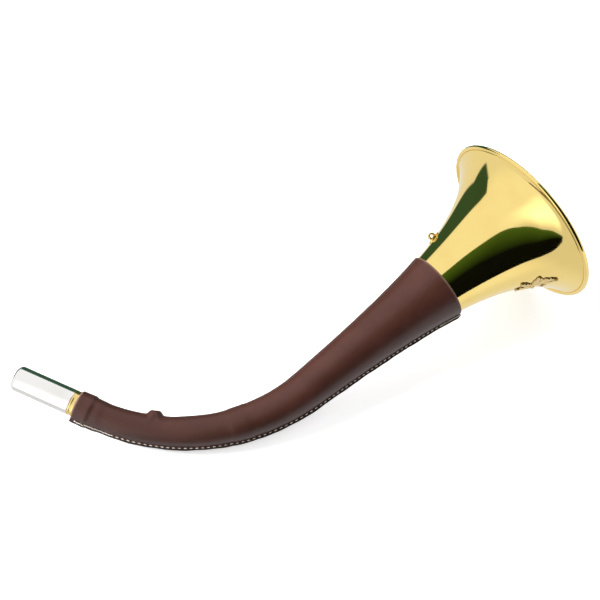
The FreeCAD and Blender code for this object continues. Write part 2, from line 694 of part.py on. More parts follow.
def stitch(point, turn, side):
    """One bar of thread lying on the fin's face."""
    bar = Part.makeBox(size("stitch_length"), size("stitch_width"), size("stitch_height"),
                       Vector(-size("stitch_length") / 2, -size("stitch_width") / 2, 0))
    place = Placement(point, Rotation(Vector(0, 0, 1), -math.degrees(turn)))
    lift = size("fin_thickness") / 2 + size("stitch_gap")
    low = lift if side > 0 else -lift - size("stitch_height")
    bar.Placement = place * Placement(Vector(0, 0, low), AS_IS)
    return bar


seam_length = (size("bell_length") - size("leather_edge")
               + size("bend_radius") * math.radians(size("bend_angle")) + size("receiver_length"))
bars = []
stitch_count = int(seam_length / size("stitch_pitch"))
for index in range(stitch_count):
    place, turn = seam_point((index + 0.5) * size("stitch_pitch"))
    bars += [stitch(place, turn, side) for side in (1, -1)]
seam_thread = doc.addObject("Part::Feature", "seam_thread")
seam_thread.Shape = Part.makeCompound(bars)


# ---------------------------------------------------------------- places of the sub-parts in the horn frame
block_start = size("receiver_length") - size("tenon_length")
block_place = mouth_placement * Placement(Vector(block_start, 0, 0), AS_IS)
socket_place = mouth_placement * Placement(
    Vector(size("receiver_length") + size("collar_width"), 0, 0), AS_IS)
plate_top = size("solder_gap") + size("plate_thickness") - size("eye_seat")
bell_eye_tilt = math.degrees(math.atan(slope_at(size("bell_eye_run"))))
bell_eye_place = Placement(Vector(-size("bell_eye_run"), radius_at(size("bell_eye_run")) + plate_top, 0),
                           Rotation(Vector(0, 0, 1), bell_eye_tilt))
as_drawn = Placement()
SUBPARTS = [
    (bell, "bell", as_drawn),
    (rim_wire, "rim_wire", rim_wire.Placement),
    (main_branch, "main_branch", as_drawn),
    (branch_ferrule, "branch_ferrule", as_drawn),
    (mouth_branch, "mouth_branch", as_drawn),
    (receiver, "receiver", mouth_placement),
    (reed_block, "reed_block", block_place),
    (reed_shallot, "reed_shallot", socket_place),
    (reed_tongue, "reed_tongue", socket_place),
    (reed_wedge, "reed_wedge", socket_place),
    (mouthpiece, "mouthpiece", socket_place),
    (bell_eye_plate, "bell_eye_plate", as_drawn),
    (bell_eye, "bell_eye", bell_eye_place),
    (stud_plate, "stud_plate", as_drawn),
    (strap_stud, "strap_stud", as_drawn),
    (emblem, "emblem", as_drawn),
    (leather_sleeve, "leather_sleeve", as_drawn),
    (seam_thread, "seam_thread", as_drawn),
]
for item, label, place in SUBPARTS:
    item.Label = label
    item.Placement = place
doc.recompute()

# ---------------------------------------------------------------- how the horn lies: as low as it can get
SOFT_PARTS = ("leather_sleeve", "seam_thread")
LEATHER_TO_BRASS = 0.11            # density of leather and thread over that of brass
CONTACT_STEPS = 60
bell_axis = Vector(1, 0, 0)
mouth_axis = mouth_placement.Rotation.multVec(bell_axis)
skin = size("leather_gap") + size("leather_wall")
cap_radius = evaluate(cap_out)
tip_along = size("receiver_length") + size("collar_width") + size("cap_length") - size("cap_round")
# circles that can touch the ground: centre, axis, radius and the thickness round them
contacts = [
    (Vector(0, 0, 0), bell_axis, radius_at(0), size("bead_radius")),
    (mouth_placement.multVec(Vector(tip_along, 0, 0)), mouth_axis, cap_radius - size("cap_round"),
     size("cap_round")),
]
for along in (size("neck_length"), size("receiver_length")):
    place = mouth_placement.multVec(Vector(along, 0, 0))
    contacts.append((place, mouth_axis, evaluate(receiver_out) + skin, 0))
for index in range(CONTACT_STEPS + 1):
    centre, _, turn = bend_point(index / CONTACT_STEPS)
    radius = radius_at(bend_run(index / CONTACT_STEPS)) + skin
    contacts.append((centre, Vector(math.cos(turn), -math.sin(turn), 0), radius, 0))

weights = [LEATHER_TO_BRASS if label in SOFT_PARTS else 1.0 for _, label, _ in SUBPARTS]
solids = [(solid, weight) for (item, _, _), weight in zip(SUBPARTS, weights) for solid in item.Shape.Solids]
moment = Vector(0, 0, 0)
for solid, weight in solids:
    moment += solid.CenterOfMass * (solid.Volume * weight)
balance = moment * (1 / sum(solid.Volume * weight for solid, weight in solids))


def upward(tilts):
    """The up direction in the horn frame for two small tilts."""
    return Vector(tilts[0], tilts[1], 1).normalize()


def weight_height(tilts):
    """Height of the centre of mass over the ground that the contacts rest on."""
    up = upward(tilts)
    ground = min(centre.dot(up) - radius * math.sqrt(max(0.0, 1 - axis.dot(up) ** 2)) - thickness
                 for centre, axis, radius, thickness in contacts)
    return balance.dot(up) - ground


tilts = [0.0, 0.0]
step = 0.1
NEIGHBOURS = [(math.cos(math.radians(angle)), math.sin(math.radians(angle))) for angle in range(0, 360, 2)]
while step > 1e-7:
    best = min(([tilts[0] + step * a, tilts[1] + step * b] for a, b in NEIGHBOURS), key=weight_height)
    if weight_height(best) < weight_height(tilts):
        tilts = best
    else:
        step /= 2
up = upward(tilts)
forward = (bell_axis - up * bell_axis.dot(up)).normalize()
left = up.cross(forward)
turn_down = Placement(FreeCAD.Matrix(
    forward.x, forward.y, forward.z, 0, left.x, left.y, left.z, 0, up.x, up.y, up.z, 0, 0, 0, 0, 1))
for item, _, place in SUBPARTS:
    item.Placement = turn_down * place
doc.recompute()
outer = FreeCAD.BoundBox()
for item, _, _ in SUBPARTS:
    outer.add(item.Shape.optimalBoundingBox(False, False))
stand = Placement(Vector(-outer.Center.x, -outer.Center.y, -outer.ZMin), AS_IS)
for item, _, place in SUBPARTS:
    item.Placement = stand * turn_down * place
doc.recompute()

# ---------------------------------------------------------------- checks, then one file per sub-part
for item in doc.Objects:
    if {"Invalid", "Error"} & set(item.State):
        raise RuntimeError(f"{item.Label} did not build: {item.State}")
for item, label, _ in SUBPARTS:
    if item.Shape.isNull() or not item.Shape.isValid() or not item.Shape.Solids:
        raise RuntimeError(f"{label} is not a valid solid")

os.makedirs("parts", exist_ok=True)
for item, label, _ in SUBPARTS:
    item.Shape.exportStep(os.path.join("parts", f"{label}.step"))
    print(f"{label}: {len(item.Shape.Solids)} solid(s), {item.Shape.Volume:.1f} mm3")
print(f"size {outer.XLength:.2f} x {outer.YLength:.2f} x {outer.ZLength:.2f} mm")
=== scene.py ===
"""Looks of the reed call horn: polished brass bell, sewn leather cover and nickel mouthpiece.

Every length is in metres and every piece is made in the row frame, on the horn's own course: a
straight bell, one bend and a straight mouth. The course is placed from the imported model, so the
pieces need no fitting.
"""
from __future__ import annotations

import json
import logging
import math
from dataclasses import dataclass, field
from enum import Enum
from typing import Sequence

import bmesh
import bpy
from bpy.types import Material, Mesh, Node, NodeSocket, NodeTree, Object
from mathutils import Matrix, Vector


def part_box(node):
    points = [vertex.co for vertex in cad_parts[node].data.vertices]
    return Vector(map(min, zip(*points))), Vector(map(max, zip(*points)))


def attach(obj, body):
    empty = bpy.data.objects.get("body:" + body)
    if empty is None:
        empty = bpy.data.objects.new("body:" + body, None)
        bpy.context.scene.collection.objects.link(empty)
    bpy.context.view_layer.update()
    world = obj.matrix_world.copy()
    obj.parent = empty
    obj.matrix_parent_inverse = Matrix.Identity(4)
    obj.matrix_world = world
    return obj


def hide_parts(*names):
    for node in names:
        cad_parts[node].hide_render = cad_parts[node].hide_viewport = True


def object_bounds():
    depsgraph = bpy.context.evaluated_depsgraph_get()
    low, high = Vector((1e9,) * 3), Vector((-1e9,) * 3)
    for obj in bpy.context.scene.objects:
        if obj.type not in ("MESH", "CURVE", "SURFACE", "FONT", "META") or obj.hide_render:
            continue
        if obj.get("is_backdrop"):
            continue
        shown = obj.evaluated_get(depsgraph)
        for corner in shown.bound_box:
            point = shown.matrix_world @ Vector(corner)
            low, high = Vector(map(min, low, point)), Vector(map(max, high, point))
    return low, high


LOG = logging.getLogger("horn")
MM = 0.001
SAME_POINT = 1e-7
TURN = 2 * math.pi
Triple = tuple[float, float, float]
Pair = tuple[float, float]

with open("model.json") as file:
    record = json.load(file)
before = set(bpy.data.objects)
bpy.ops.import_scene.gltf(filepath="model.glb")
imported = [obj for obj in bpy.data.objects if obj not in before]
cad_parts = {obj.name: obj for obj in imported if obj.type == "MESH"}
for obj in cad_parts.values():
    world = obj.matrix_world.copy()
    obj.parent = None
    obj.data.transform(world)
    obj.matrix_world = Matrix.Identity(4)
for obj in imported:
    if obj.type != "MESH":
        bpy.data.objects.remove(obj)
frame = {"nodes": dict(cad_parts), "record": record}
CAD_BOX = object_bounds()


# ---------------------------------------------------------------- node trees
class Signal:
    """A socket's value, on which arithmetic adds Math nodes."""

    def __init__(self, graph: Graph, socket: NodeSocket) -> None:
        """Wrap one output socket of a graph."""
        self.graph = graph
        self.socket = socket

    def math(self, operation: str, *values: Signal | float) -> Signal:
        """Result of a Math node with an operation and its inputs in order."""
        return self.graph.signal("ShaderNodeMath", 0, {"operation": operation}, dict(enumerate(values)))

    def __add__(self, other: Signal | float) -> Signal:
        """Sum."""
        return self.math("ADD", self, other)

    def __radd__(self, other: float) -> Signal:
        """Reflected sum."""
        return self.math("ADD", other, self)

    def __sub__(self, other: Signal | float) -> Signal:
        """Difference."""
        return self.math("SUBTRACT", self, other)

    def __rsub__(self, other: float) -> Signal:
        """Reflected difference."""
        return self.math("SUBTRACT", other, self)

    def __mul__(self, other: Signal | float) -> Signal:
        """Product."""
        return self.math("MULTIPLY", self, other)

    def __rmul__(self, other: float) -> Signal:
        """Reflected product."""
        return self.math("MULTIPLY", other, self)

    def sine(self) -> Signal:
        """Sine of an angle in radians."""
        return self.math("SINE", self)

    def positive(self) -> Signal:
        """The value, or 0 where it is negative."""
        return self.math("MAXIMUM", self, 0.0)

    def step(self, low: float, high: float) -> Signal:
        """Smooth step: 0 at low, 1 at high. Low may be the larger."""
        return self.graph.signal("ShaderNodeMapRange", 0, {"interpolation_type": "SMOOTHSTEP"},
                                 {"Value": self, "From Min": low, "From Max": high})


class Graph:
    """A shader or geometry node tree under construction."""

    def __init__(self, tree: NodeTree) -> None:
        """Start from an emptied tree."""
        self.tree = tree
        tree.nodes.clear()

    def node(self, kind: str, settings: dict | None = None, sockets: dict | None = None) -> Node:
        """Add one node.

        Args:
            kind: The node's type.
            settings: Its properties, which are set first.
            sockets: Values or links by the input's name or number.

        Returns:
            The new node.
        """
        made = self.tree.nodes.new(kind)
        for name, value in (settings or {}).items():
            setattr(made, name, value)
        for name, value in (sockets or {}).items():
            source = value.socket if isinstance(value, Signal) else value
            if isinstance(source, NodeSocket):
                self.tree.links.new(source, made.inputs[name])
            else:
                made.inputs[name].default_value = value
        return made

    def signal(self, kind: str, output: str | int, settings: dict | None = None,
               sockets: dict | None = None) -> Signal:
        """Add a node and wrap one of its outputs."""
        return Signal(self, self.node(kind, settings, sockets).outputs[output])

    def place(self) -> Signal:
        """Object coordinates, in metres."""
        return self.signal("ShaderNodeTexCoord", "Object")

    def attribute(self, name: str) -> Signal:
        """A piece's own number attribute."""
        return self.signal("ShaderNodeAttribute", "Fac", {"attribute_name": name})

    def noise(self, where: Signal, size: float, detail: float = 3.0, roughness: float = 0.5) -> Signal:
        """Noise from 0 to 1 whose features are about one size across."""
        return self.signal("ShaderNodeTexNoise", "Fac", None, {
            "Vector": where, "Scale": 1 / size, "Detail": detail, "Roughness": roughness})

    def cells(self, where: Signal, size: float) -> Signal:
        """Distance from the nearest cell's middle, in a pattern whose cells are about one size across."""
        return self.signal("ShaderNodeTexVoronoi", "Distance", None, {"Vector": where, "Scale": 1 / size})

    def along(self, where: Signal, axis: Vector) -> Signal:
        """Distance of a place along an axis through the origin."""
        return self.signal("ShaderNodeVectorMath", "Value", {"operation": "DOT_PRODUCT"},
                           {0: where, 1: tuple(axis)})

    def stretch(self, where: Signal, scale: Triple) -> Signal:
        """A place with each coordinate scaled."""
        return self.signal("ShaderNodeMapping", "Vector", None, {"Vector": where, "Scale": scale})

    def mix(self, share: Signal, low: Signal | Triple, high: Signal | Triple) -> Signal:
        """Mix of two colours by a share; plain colours have three numbers."""
        ends = [value if isinstance(value, Signal) else (*value, 1.0) for value in (low, high)]
        return self.signal("ShaderNodeMix", 2, {"data_type": "RGBA"}, {0: share, 6: ends[0], 7: ends[1]})

    def glow(self, colour: Signal | Triple, strength: float) -> NodeSocket:
        """Plain light of a colour and a strength."""
        if not isinstance(colour, Signal):
            colour = (*colour, 1.0)
        return self.node("ShaderNodeEmission", None, {"Color": colour, "Strength": strength}).outputs[0]

    def finish(self, surface: NodeSocket, kind: str = "Material") -> None:
        """End a material's or a world's tree with its surface."""
        self.node(f"ShaderNodeOutput{kind}", None, {"Surface": surface})

    def bump(self, height: Signal, depth: float, below: Signal | None = None) -> Signal:
        """A bumped normal, from a height of 0 to 1 that stands for a depth in metres."""
        sockets = {"Height": height, "Distance": depth, "Strength": 1.0}
        if below is not None:
            sockets["Normal"] = below
        return self.signal("ShaderNodeBump", "Normal", None, sockets)

    def principled(self, fixed: dict, varying: dict) -> None:
        """Finish a material: a Principled shader with fixed values and varying inputs."""
        self.finish(self.node("ShaderNodeBsdfPrincipled", None, {**fixed, **varying}).outputs["BSDF"])


def new_material(name: str) -> tuple[Material, Graph]:
    """A named material with an empty node graph."""
    material = bpy.data.materials.new(name)
    material.use_nodes = True
    return material, Graph(material.node_tree)


# ---------------------------------------------------------------- finishes
class Lay(Enum):
    """Which way the fine marks of a metal run."""

    SWIRLED = "swirled"
    ROUND = "round"
    CAST = "cast"


@dataclass(frozen=True)
class Metal:
    """A metal finish: its colour, its polish and its fine marks."""

    name: str
    colour: Triple
    shade: Triple
    roughness: float
    lay: Lay
    mark_depth: float
    roughness_spread: float = 0.05

    def marks(self, graph: Graph, where: Signal, axis: Vector) -> Signal:
        """Height of the fine marks, 0 to 1."""
        if self.lay is Lay.ROUND:
            line = graph.along(where, axis)
            wander = graph.noise(where, 6 * MM, 2.0) * (0.3 * MM)
            lines = ((line + wander) * (TURN / (0.55 * MM))).sine() * 0.5 + 0.5
            return lines * 0.6 + graph.noise(where, 0.5 * MM, 2.0) * 0.4
        if self.lay is Lay.CAST:
            return graph.noise(where, 0.8 * MM, 4.0, 0.6)
        return graph.noise(graph.stretch(where, (1.0, 7.0, 1.0)), 5 * MM, 4.0, 0.65)

    def build(self, axis: Vector) -> Material:
        """Make the material.

        Args:
            axis: The direction about which a turned piece's marks run.

        Returns:
            The material.
        """
        material, graph = new_material(self.name)
        where = graph.place()
        broad = graph.noise(where, 22 * MM, 3.0)
        marks = self.marks(graph, where, axis)
        specks = graph.noise(where, 1.6 * MM, 5.0, 0.6).step(0.60, 0.74)
        # Painted shade: the recess mark darkens the metal in grooves, at the bead's seams and round the emblem's
        # relief; the broad patches and specks are tarnish.
        recess = graph.attribute("recess")
        tarnish_and_recess_shade = broad.step(0.45, 0.8) * 0.35 + specks * 0.12 + recess * 0.75
        colour = graph.mix(tarnish_and_recess_shade, self.colour, self.shade)
        rough = self.roughness + (broad - 0.5) * self.roughness_spread + specks * 0.05 + recess * 0.25
        graph.principled({"Metallic": 1.0}, {"Base Color": colour, "Roughness": rough,
                                             "Normal": graph.bump(marks, self.mark_depth)})
        return material


@dataclass(frozen=True)
class Leather:
    """Smooth satin calf: fine grain, soft creases with painted shade, a pale cut edge and a blackened edge on
    the seam.
    """

    name: str = "brown_leather"
    colour: Triple = (0.058, 0.0175, 0.0125)
    shade: Triple = (0.028, 0.0072, 0.0034)
    edge: Triple = (0.34, 0.23, 0.17)
    blacking: Triple = (0.008, 0.005, 0.004)
    roughness: float = 0.41

    def build(self) -> Material:
        """Make the material; it reads edge on the pale cut, black on the seam and crease in a fold, where it
        paints shade.
        """
        material, graph = new_material(self.name)
        where = graph.place()
        broad = graph.noise(where, 18 * MM, 3.0, 0.55)
        mottle = graph.noise(where, 3.0 * MM, 4.0, 0.6)
        pores = graph.cells(where, 0.42 * MM)
        grain = graph.noise(where, 0.7 * MM, 4.0, 0.6)
        crease = graph.attribute("crease")
        edge = graph.attribute("edge")
        black = graph.attribute("black")
        tone = 0.25 + broad.step(0.3, 0.75) * 0.35 + mottle * 0.35 - pores.step(0.35, 0.05) * 0.10
        colour = graph.mix(tone, self.shade, self.colour)
        # Painted shade: the crease mark darkens fold troughs, the fin's foot and groove, and the sleeve's
        # inside.
        colour = graph.mix(crease * 0.6, colour, self.shade)
        colour = graph.mix(edge * (0.45 + mottle * 0.5), colour, self.edge)
        colour = graph.mix(black * (0.8 + mottle * 0.2), colour, self.blacking)
        rough = self.roughness + (mottle - 0.5) * 0.12 + edge * 0.25 + crease * 0.1
        fine = graph.bump(pores.step(0.0, 0.6) * 0.5 + grain * 0.5, 0.035 * MM)
        normal = graph.bump(mottle, 0.10 * MM, fine)
        graph.principled({"Metallic": 0.0, "Specular IOR Level": 0.46, "Coat Weight": 0.04,
                          "Coat Roughness": 0.35},
                         {"Base Color": colour, "Roughness": rough, "Normal": normal})
        return material


@dataclass(frozen=True)
class Thread:
    """Waxed linen thread: a cream strand with a slanting twist, painted shade in the twist's grooves, and a
    little grime.
    """

    name: str = "pale_thread"
    colour: Triple = (0.86, 0.82, 0.72)
    shade: Triple = (0.46, 0.38, 0.28)

    def build(self) -> Material:
        """Make the material."""
        material, graph = new_material(self.name)
        where = graph.place()
        twist = (graph.along(where, Vector((0.7, 0.5, 0.6))) * (TURN / (0.32 * MM))).sine() * 0.5 + 0.5
        fuzz = graph.noise(where, 0.25 * MM, 3.0, 0.6)
        grime = graph.noise(where, 9 * MM, 3.0).step(0.45, 0.75)
        # The grime is dirt; the darker troughs of the twist are painted shade.
        colour = graph.mix(grime * 0.35 + (1 - twist) * 0.3, self.colour, self.shade)
        normal = graph.bump(twist * 0.7 + fuzz * 0.3, 0.07 * MM)
        graph.principled({"Metallic": 0.0, "Sheen Weight": 0.2},
                         {"Base Color": colour, "Roughness": 0.6 + fuzz * 0.2, "Normal": normal})
        return material


class Finishes:
    """All of the horn's finishes, each built once."""

    def __init__(self, course: Course) -> None:
        """Build every material for a horn on a course."""
        ring = course.mouth_axis()
        self.bell, self.tube, self.turned, self.cast, self.reed, self.nickel = (
            Metal(*row).build(ring) for row in (
                ("polished_brass", (0.955, 0.735, 0.265), (0.84, 0.58, 0.17), 0.06, Lay.SWIRLED,
                 0.0012 * MM, 0.03),
                ("plain_brass", (0.72, 0.51, 0.20), (0.42, 0.27, 0.09), 0.30, Lay.SWIRLED, 0.02 * MM, 0.12),
                ("turned_brass", (0.90, 0.66, 0.27), (0.62, 0.40, 0.13), 0.13, Lay.ROUND, 0.0035 * MM),
                ("cast_brass", (0.88, 0.66, 0.30), (0.20, 0.13, 0.035), 0.20, Lay.CAST, 0.03 * MM, 0.08),
                ("reed_brass", (0.88, 0.70, 0.38), (0.66, 0.46, 0.2), 0.22, Lay.SWIRLED, 0.006 * MM),
                ("nickel", (0.90, 0.885, 0.865), (0.78, 0.75, 0.69), 0.09, Lay.ROUND, 0.0022 * MM, 0.03)))
        self.leather = Leather().build()
        self.thread = Thread().build()


# ---------------------------------------------------------------- the course of the tube
@dataclass(frozen=True)
class Station:
    """A place on the centre line: centre, direction away from the bell, inward and upward normals."""

    centre: Vector
    ahead: Vector
    inward: Vector
    up: Vector

    def ring_point(self, turn: float, radius: float) -> Vector:
        """Point at a radius; turn is 0 on the bend's outer side and grows towards the upper side."""
        return self.centre - self.inward * (math.cos(turn) * radius) + self.up * (math.sin(turn) * radius)


@dataclass(frozen=True)
class Course:
    """The horn's centre line and bore, placed in the row frame."""

    rim: Vector
    out: Vector
    side: Vector
    up: Vector
    bell_length: float = 166.5 * MM
    bend_radius: float = 119 * MM
    bend_angle: float = math.radians(62)
    flare_radius: float = 53.95 * MM
    flare_lead: float = 40 * MM
    lip_rise: float = 1.45 * MM
    lip_reach: float = 4 * MM
    receiver_length: float = 13.8 * MM
    neck_length: float = 5.4 * MM

    @classmethod
    def from_frame(cls) -> Course:
        """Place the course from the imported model: the rim's wire and the axis of the strap eye."""
        mount = frame["record"]["mounts"][0]
        up = Vector(mount["axis"]).normalized()
        out = Vector((0, 1, 0)).cross(up).normalized()
        low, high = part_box("rim_wire")
        return cls((low + high) / 2, out, up.cross(out).normalized(), up)

    def radius(self, run: float) -> float:
        """Outer radius of the brass at a run behind the rim."""
        return (self.flare_radius * self.flare_lead / (self.flare_lead + run)
                + self.lip_rise * math.exp(-run / self.lip_reach))

    def slope(self, run: float) -> float:
        """How fast the radius grows with the run, a negative number."""
        return (-self.flare_radius * self.flare_lead / (self.flare_lead + run) ** 2
                - self.lip_rise / self.lip_reach * math.exp(-run / self.lip_reach))

    @property
    def bend_end(self) -> float:
        """Run at the end of the bend, where the receiver starts."""
        return self.bell_length + self.bend_radius * self.bend_angle

    def station(self, run: float) -> Station:
        """The place on the centre line at a run behind the rim."""
        if run <= self.bell_length:
            return Station(self.rim - self.out * run, -self.out, self.side, self.up)
        share = min(1.0, (run - self.bell_length) / (self.bend_radius * self.bend_angle))
        turn = share * self.bend_angle
        centre = (self.rim - self.out * (self.bell_length + self.bend_radius * math.sin(turn))
                  + self.side * (self.bend_radius * (1 - math.cos(turn))))
        ahead = -self.out * math.cos(turn) + self.side * math.sin(turn)
        inward = self.out * math.sin(turn) + self.side * math.cos(turn)
        return Station(centre + ahead * max(0.0, run - self.bend_end), ahead, inward, self.up)

    def mouth_axis(self) -> Vector:
        """Direction of the mouth's axis, towards the player."""
        return self.station(self.bend_end).ahead

    def point(self, along: float, side: float, up: float) -> Vector:
        """A point by its distances from the rim's centre out of the bell, to the side and up."""
        return self.rim + self.out * along + self.side * side + self.up * up

    def seen(self, along: float, side: float, up: float) -> Vector:
        """A direction by its parts out of the bell, to the side and up."""
        return self.out * along + self.side * side + self.up * up


# ---------------------------------------------------------------- mesh helpers
@dataclass
class Shell:
    """A mesh under construction: points, faces and number attributes on the points."""

    points: list[Vector] = field(default_factory=list)
    faces: list[tuple[int, ...]] = field(default_factory=list)
    marks: dict[str, list[float]] = field(default_factory=dict)

    def add(self, point: Vector, **marks: float) -> int:
        """Add a point with its attributes and return its number."""
        self.points.append(point)
        for name in set(self.marks) | set(marks):
            row = self.marks.setdefault(name, [0.0] * (len(self.points) - 1))
            row.append(marks.get(name, 0.0))
        return len(self.points) - 1

    def grid(self, rows: Sequence[Sequence[int]], closed_round: bool = True, closed_along: bool = False,
             capped: bool = False) -> None:
        """Join rows of points with four-sided faces.

        Args:
            rows: The points' numbers, row by row.
            closed_round: Whether each row closes on itself.
            closed_along: Whether the last row joins the first.
            capped: Whether the first and the last row are filled with a face.
        """
        count = len(rows[0])
        for index in range(len(rows) if closed_along else len(rows) - 1):
            this, following = rows[index], rows[(index + 1) % len(rows)]
            for step in range(count if closed_round else count - 1):
                ahead = (step + 1) % count
                self.faces.append((this[step], this[ahead], following[ahead], following[step]))
        if capped:
            self.faces += [tuple(rows[0]), tuple(rows[-1])]

    def mesh(self, name: str) -> Mesh:
        """The mesh with its attributes."""
        made = bpy.data.meshes.new(name)
        made.from_pydata([tuple(point) for point in self.points], [], self.faces)
        for mark, values in self.marks.items():
            made.attributes.new(mark, "FLOAT", "POINT").data.foreach_set("value", values)
        return made

    def piece(self, name: str, material: Material, smooth_angle: float = 35.0) -> Object:
        """Make the object.

        Args:
            name: The piece's name.
            material: Its finish.
            smooth_angle: Edges sharper than this stay crisp, in degrees.

        Returns:
            The object, at the origin, with its normals outward.
        """
        return finished(self.mesh(name), name, material, smooth_angle)


def linked(name: str, data: bpy.types.ID) -> Object:
    """A new object in the scene."""
    made = bpy.data.objects.new(name, data)
    bpy.context.scene.collection.objects.link(made)
    return made


def sharp(edge: bmesh.types.BMEdge, angle: float) -> bool:
    """Whether two faces meet at an edge more sharply than an angle."""
    return len(edge.link_faces) == 2 and edge.calc_face_angle(0.0) > angle


def finished(mesh: Mesh, name: str, material: Material,
             smooth_angle: float = 35.0) -> Object:
    """Clean a mesh, turn its faces outward, smooth it and make it an object."""
    work = bmesh.new()
    work.from_mesh(mesh)
    bmesh.ops.remove_doubles(work, verts=work.verts, dist=SAME_POINT)
    bmesh.ops.dissolve_degenerate(work, edges=work.edges, dist=SAME_POINT / 10)
    bmesh.ops.recalc_face_normals(work, faces=work.faces)
    limit = math.radians(smooth_angle)
    for face in work.faces:
        face.smooth = True
    for edge in work.edges:
        edge.smooth = len(edge.link_faces) == 2 and not sharp(edge, limit)
    work.to_mesh(mesh)
    work.free()
    mesh.materials.clear()
    mesh.materials.append(material)
    return linked(name, mesh)


def refined(node: str, name: str, material: Material, width: float, segments: int = 3) -> Object:
    """A merged copy of a CAD node with its edges softened.

    Args:
        node: The CAD node.
        name: The new piece's name.
        material: Its finish.
        width: Width of the softened edges.
        segments: Steps across each softened edge.

    Returns:
        The new piece, as plain mesh.
    """
    merge, flat, corner = 20 * SAME_POINT, math.radians(1.0), math.radians(28.0)
    mesh = frame["nodes"][node].data.copy()
    work = bmesh.new()
    work.from_mesh(mesh)
    bmesh.ops.remove_doubles(work, verts=work.verts, dist=merge)
    bmesh.ops.dissolve_limit(work, angle_limit=flat, verts=work.verts, edges=work.edges)
    bmesh.ops.bevel(work, geom=[edge for edge in work.edges if sharp(edge, corner)], offset=width,
                    segments=segments, profile=0.5, affect="EDGES", clamp_overlap=True)
    work.to_mesh(mesh)
    work.free()
    return finished(mesh, name, material, 30.0)


def ride_for(piece: Object, body: str, slot: str, *nodes: str) -> None:
    """Let a piece ride on a body and stand for CAD nodes."""
    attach(piece, body)
    if nodes:
        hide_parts(*nodes)
    LOG.info("%s: %d faces on %s", piece.name, len(piece.data.polygons), body)


def rounded(outline: Sequence[Pair], radius: float) -> list[Pair]:
    """A closed outline with every corner rounded, by a radius held to a third of the shorter side."""
    made = []
    steps = 4
    count = len(outline)
    for index, corner in enumerate(outline):
        here = Vector(corner)
        before = Vector(outline[index - 1]) - here
        after = Vector(outline[(index + 1) % count]) - here
        reach = min(radius, before.length / 3, after.length / 3)
        start, end = here + before.normalized() * reach, here + after.normalized() * reach
        for step in range(steps + 1):
            share = step / steps
            rest = 1 - share
            made.append(tuple(start * rest ** 2 + here * (2 * share * rest) + end * share ** 2))
    return made


def turned_ring(name: str, material: Material, centre: Vector, axis: Vector, up: Vector,
                outline: Sequence[tuple[float, ...]], segments: int = 128) -> Object:
    """A piece turned about an axis from a closed outline.

    Args:
        name: The piece's name.
        material: Its finish.
        centre: Where the outline's origin lies.
        axis: Direction of the axis.
        up: A direction square to the axis.
        outline: Its points, as (along, radius) or (along, radius, recess mark), the mark being painted shade.
        segments: Steps round the axis.

    Returns:
        The piece.
    """
    shell = Shell()
    across = axis.cross(up)
    rows = []
    for along, radius, *recess in outline:
        mark = recess[0] if recess else 0.0
        rows.append([shell.add(centre + axis * along
                               + (up * math.cos(TURN * step / segments)
                                  + across * math.sin(TURN * step / segments)) * radius, recess=mark)
                     for step in range(segments)])
    shell.grid(rows, closed_along=True)
    return shell.piece(name, material)


# ---------------------------------------------------------------- sub-assemblies
@dataclass
class Bell:
    """The spun bell with its rolled rim, the wire in it, and the two branches of tube."""

    course: Course
    finishes: Finishes
    length: float = 93.5 * MM
    wall: float = 0.7 * MM
    bead: float = 1.3 * MM
    groove_depth: float = 0.26 * MM
    groove_width: float = 0.5 * MM
    steps: int = 110
    segments: int = 208
    bead_steps: int = 22

    def groove(self, place: Pair, side: float) -> list[Triple]:
        """The narrow groove where the rolled bead closes on the bell.

        Args:
            place: A point of the bell's surface near the bead, as (along, radius).
            side: 1 on the bell's outside, -1 inside.

        Returns:
            Points from the bell's surface to the foot of the bead, with their recess marks, which paint shade in
            the groove.
        """
        sunk, clear, foot_share = self.wall * 0.3, 0.08 * MM, 0.65
        middle = Vector((0.0, self.course.radius(0)))
        away = (Vector(place) - middle).normalized()
        inward = Vector((away.y, -away.x)) * side
        if inward.y * side > 0:
            inward = -inward
        shoulder = middle + away * (self.bead + self.groove_width) - inward * sunk
        floor = middle + away * (self.bead + clear) + inward * (self.groove_depth - sunk)
        return [(*shoulder, 0.0), (*shoulder.lerp(floor, foot_share), 1.0), (*floor, 1.0)]

    def profile(self) -> list[tuple[float, ...]]:
        """Closed outline of (along, radius, recess): outside, bead, inside and back edge; the recess marks paint
        shade in the grooves and at the bead's seams.
        """
        course = self.course
        crowding, seam_shade = 1.7, 0.8
        runs = [self.length * (index / self.steps) ** crowding for index in range(self.steps, -1, -1)]
        clear = self.bead + self.groove_width
        outside = [(-run, course.radius(run)) for run in runs if run > clear]
        inside = []
        for run in reversed(runs):
            slope = course.slope(run)
            norm = math.hypot(1, slope)
            along, radius = -run - self.wall * slope / norm, course.radius(run) - self.wall / norm
            if -along > clear:
                inside.append((along, radius))
        outer_groove = self.groove(outside[-1], 1.0)
        inner_groove = self.groove(inside[0], -1.0)[::-1]
        middle = course.radius(0)
        start, end = (math.atan2(radius - middle, along) % TURN
                      for along, radius, _ in (outer_groove[-1], inner_groove[0]))
        sweep = end - start if end < start else end - start - TURN
        bead = []
        for step in range(self.bead_steps + 1):
            angle = start + sweep * step / self.bead_steps
            bead.append((self.bead * math.cos(angle), middle + self.bead * math.sin(angle),
                         seam_shade if step in (0, self.bead_steps) else 0.0))
        return outside + outer_groove + bead + inner_groove + inside

    def build(self) -> None:
        """Make the bell and dress the tube nodes that stay."""
        bell = turned_ring("bell_spun", self.finishes.bell, self.course.rim, self.course.out, self.course.up,
                           self.profile(), self.segments)
        ride_for(bell, "horn", "polished_brass", "bell")
        for node in ("rim_wire", "main_branch", "branch_ferrule", "mouth_branch"):
            dress(node, self.finishes.tube)


def dress(node: str, material: Material) -> None:
    """Give a CAD node that stays a finish."""
    mesh = frame["nodes"][node].data
    mesh.materials.clear()
    mesh.materials.append(material)


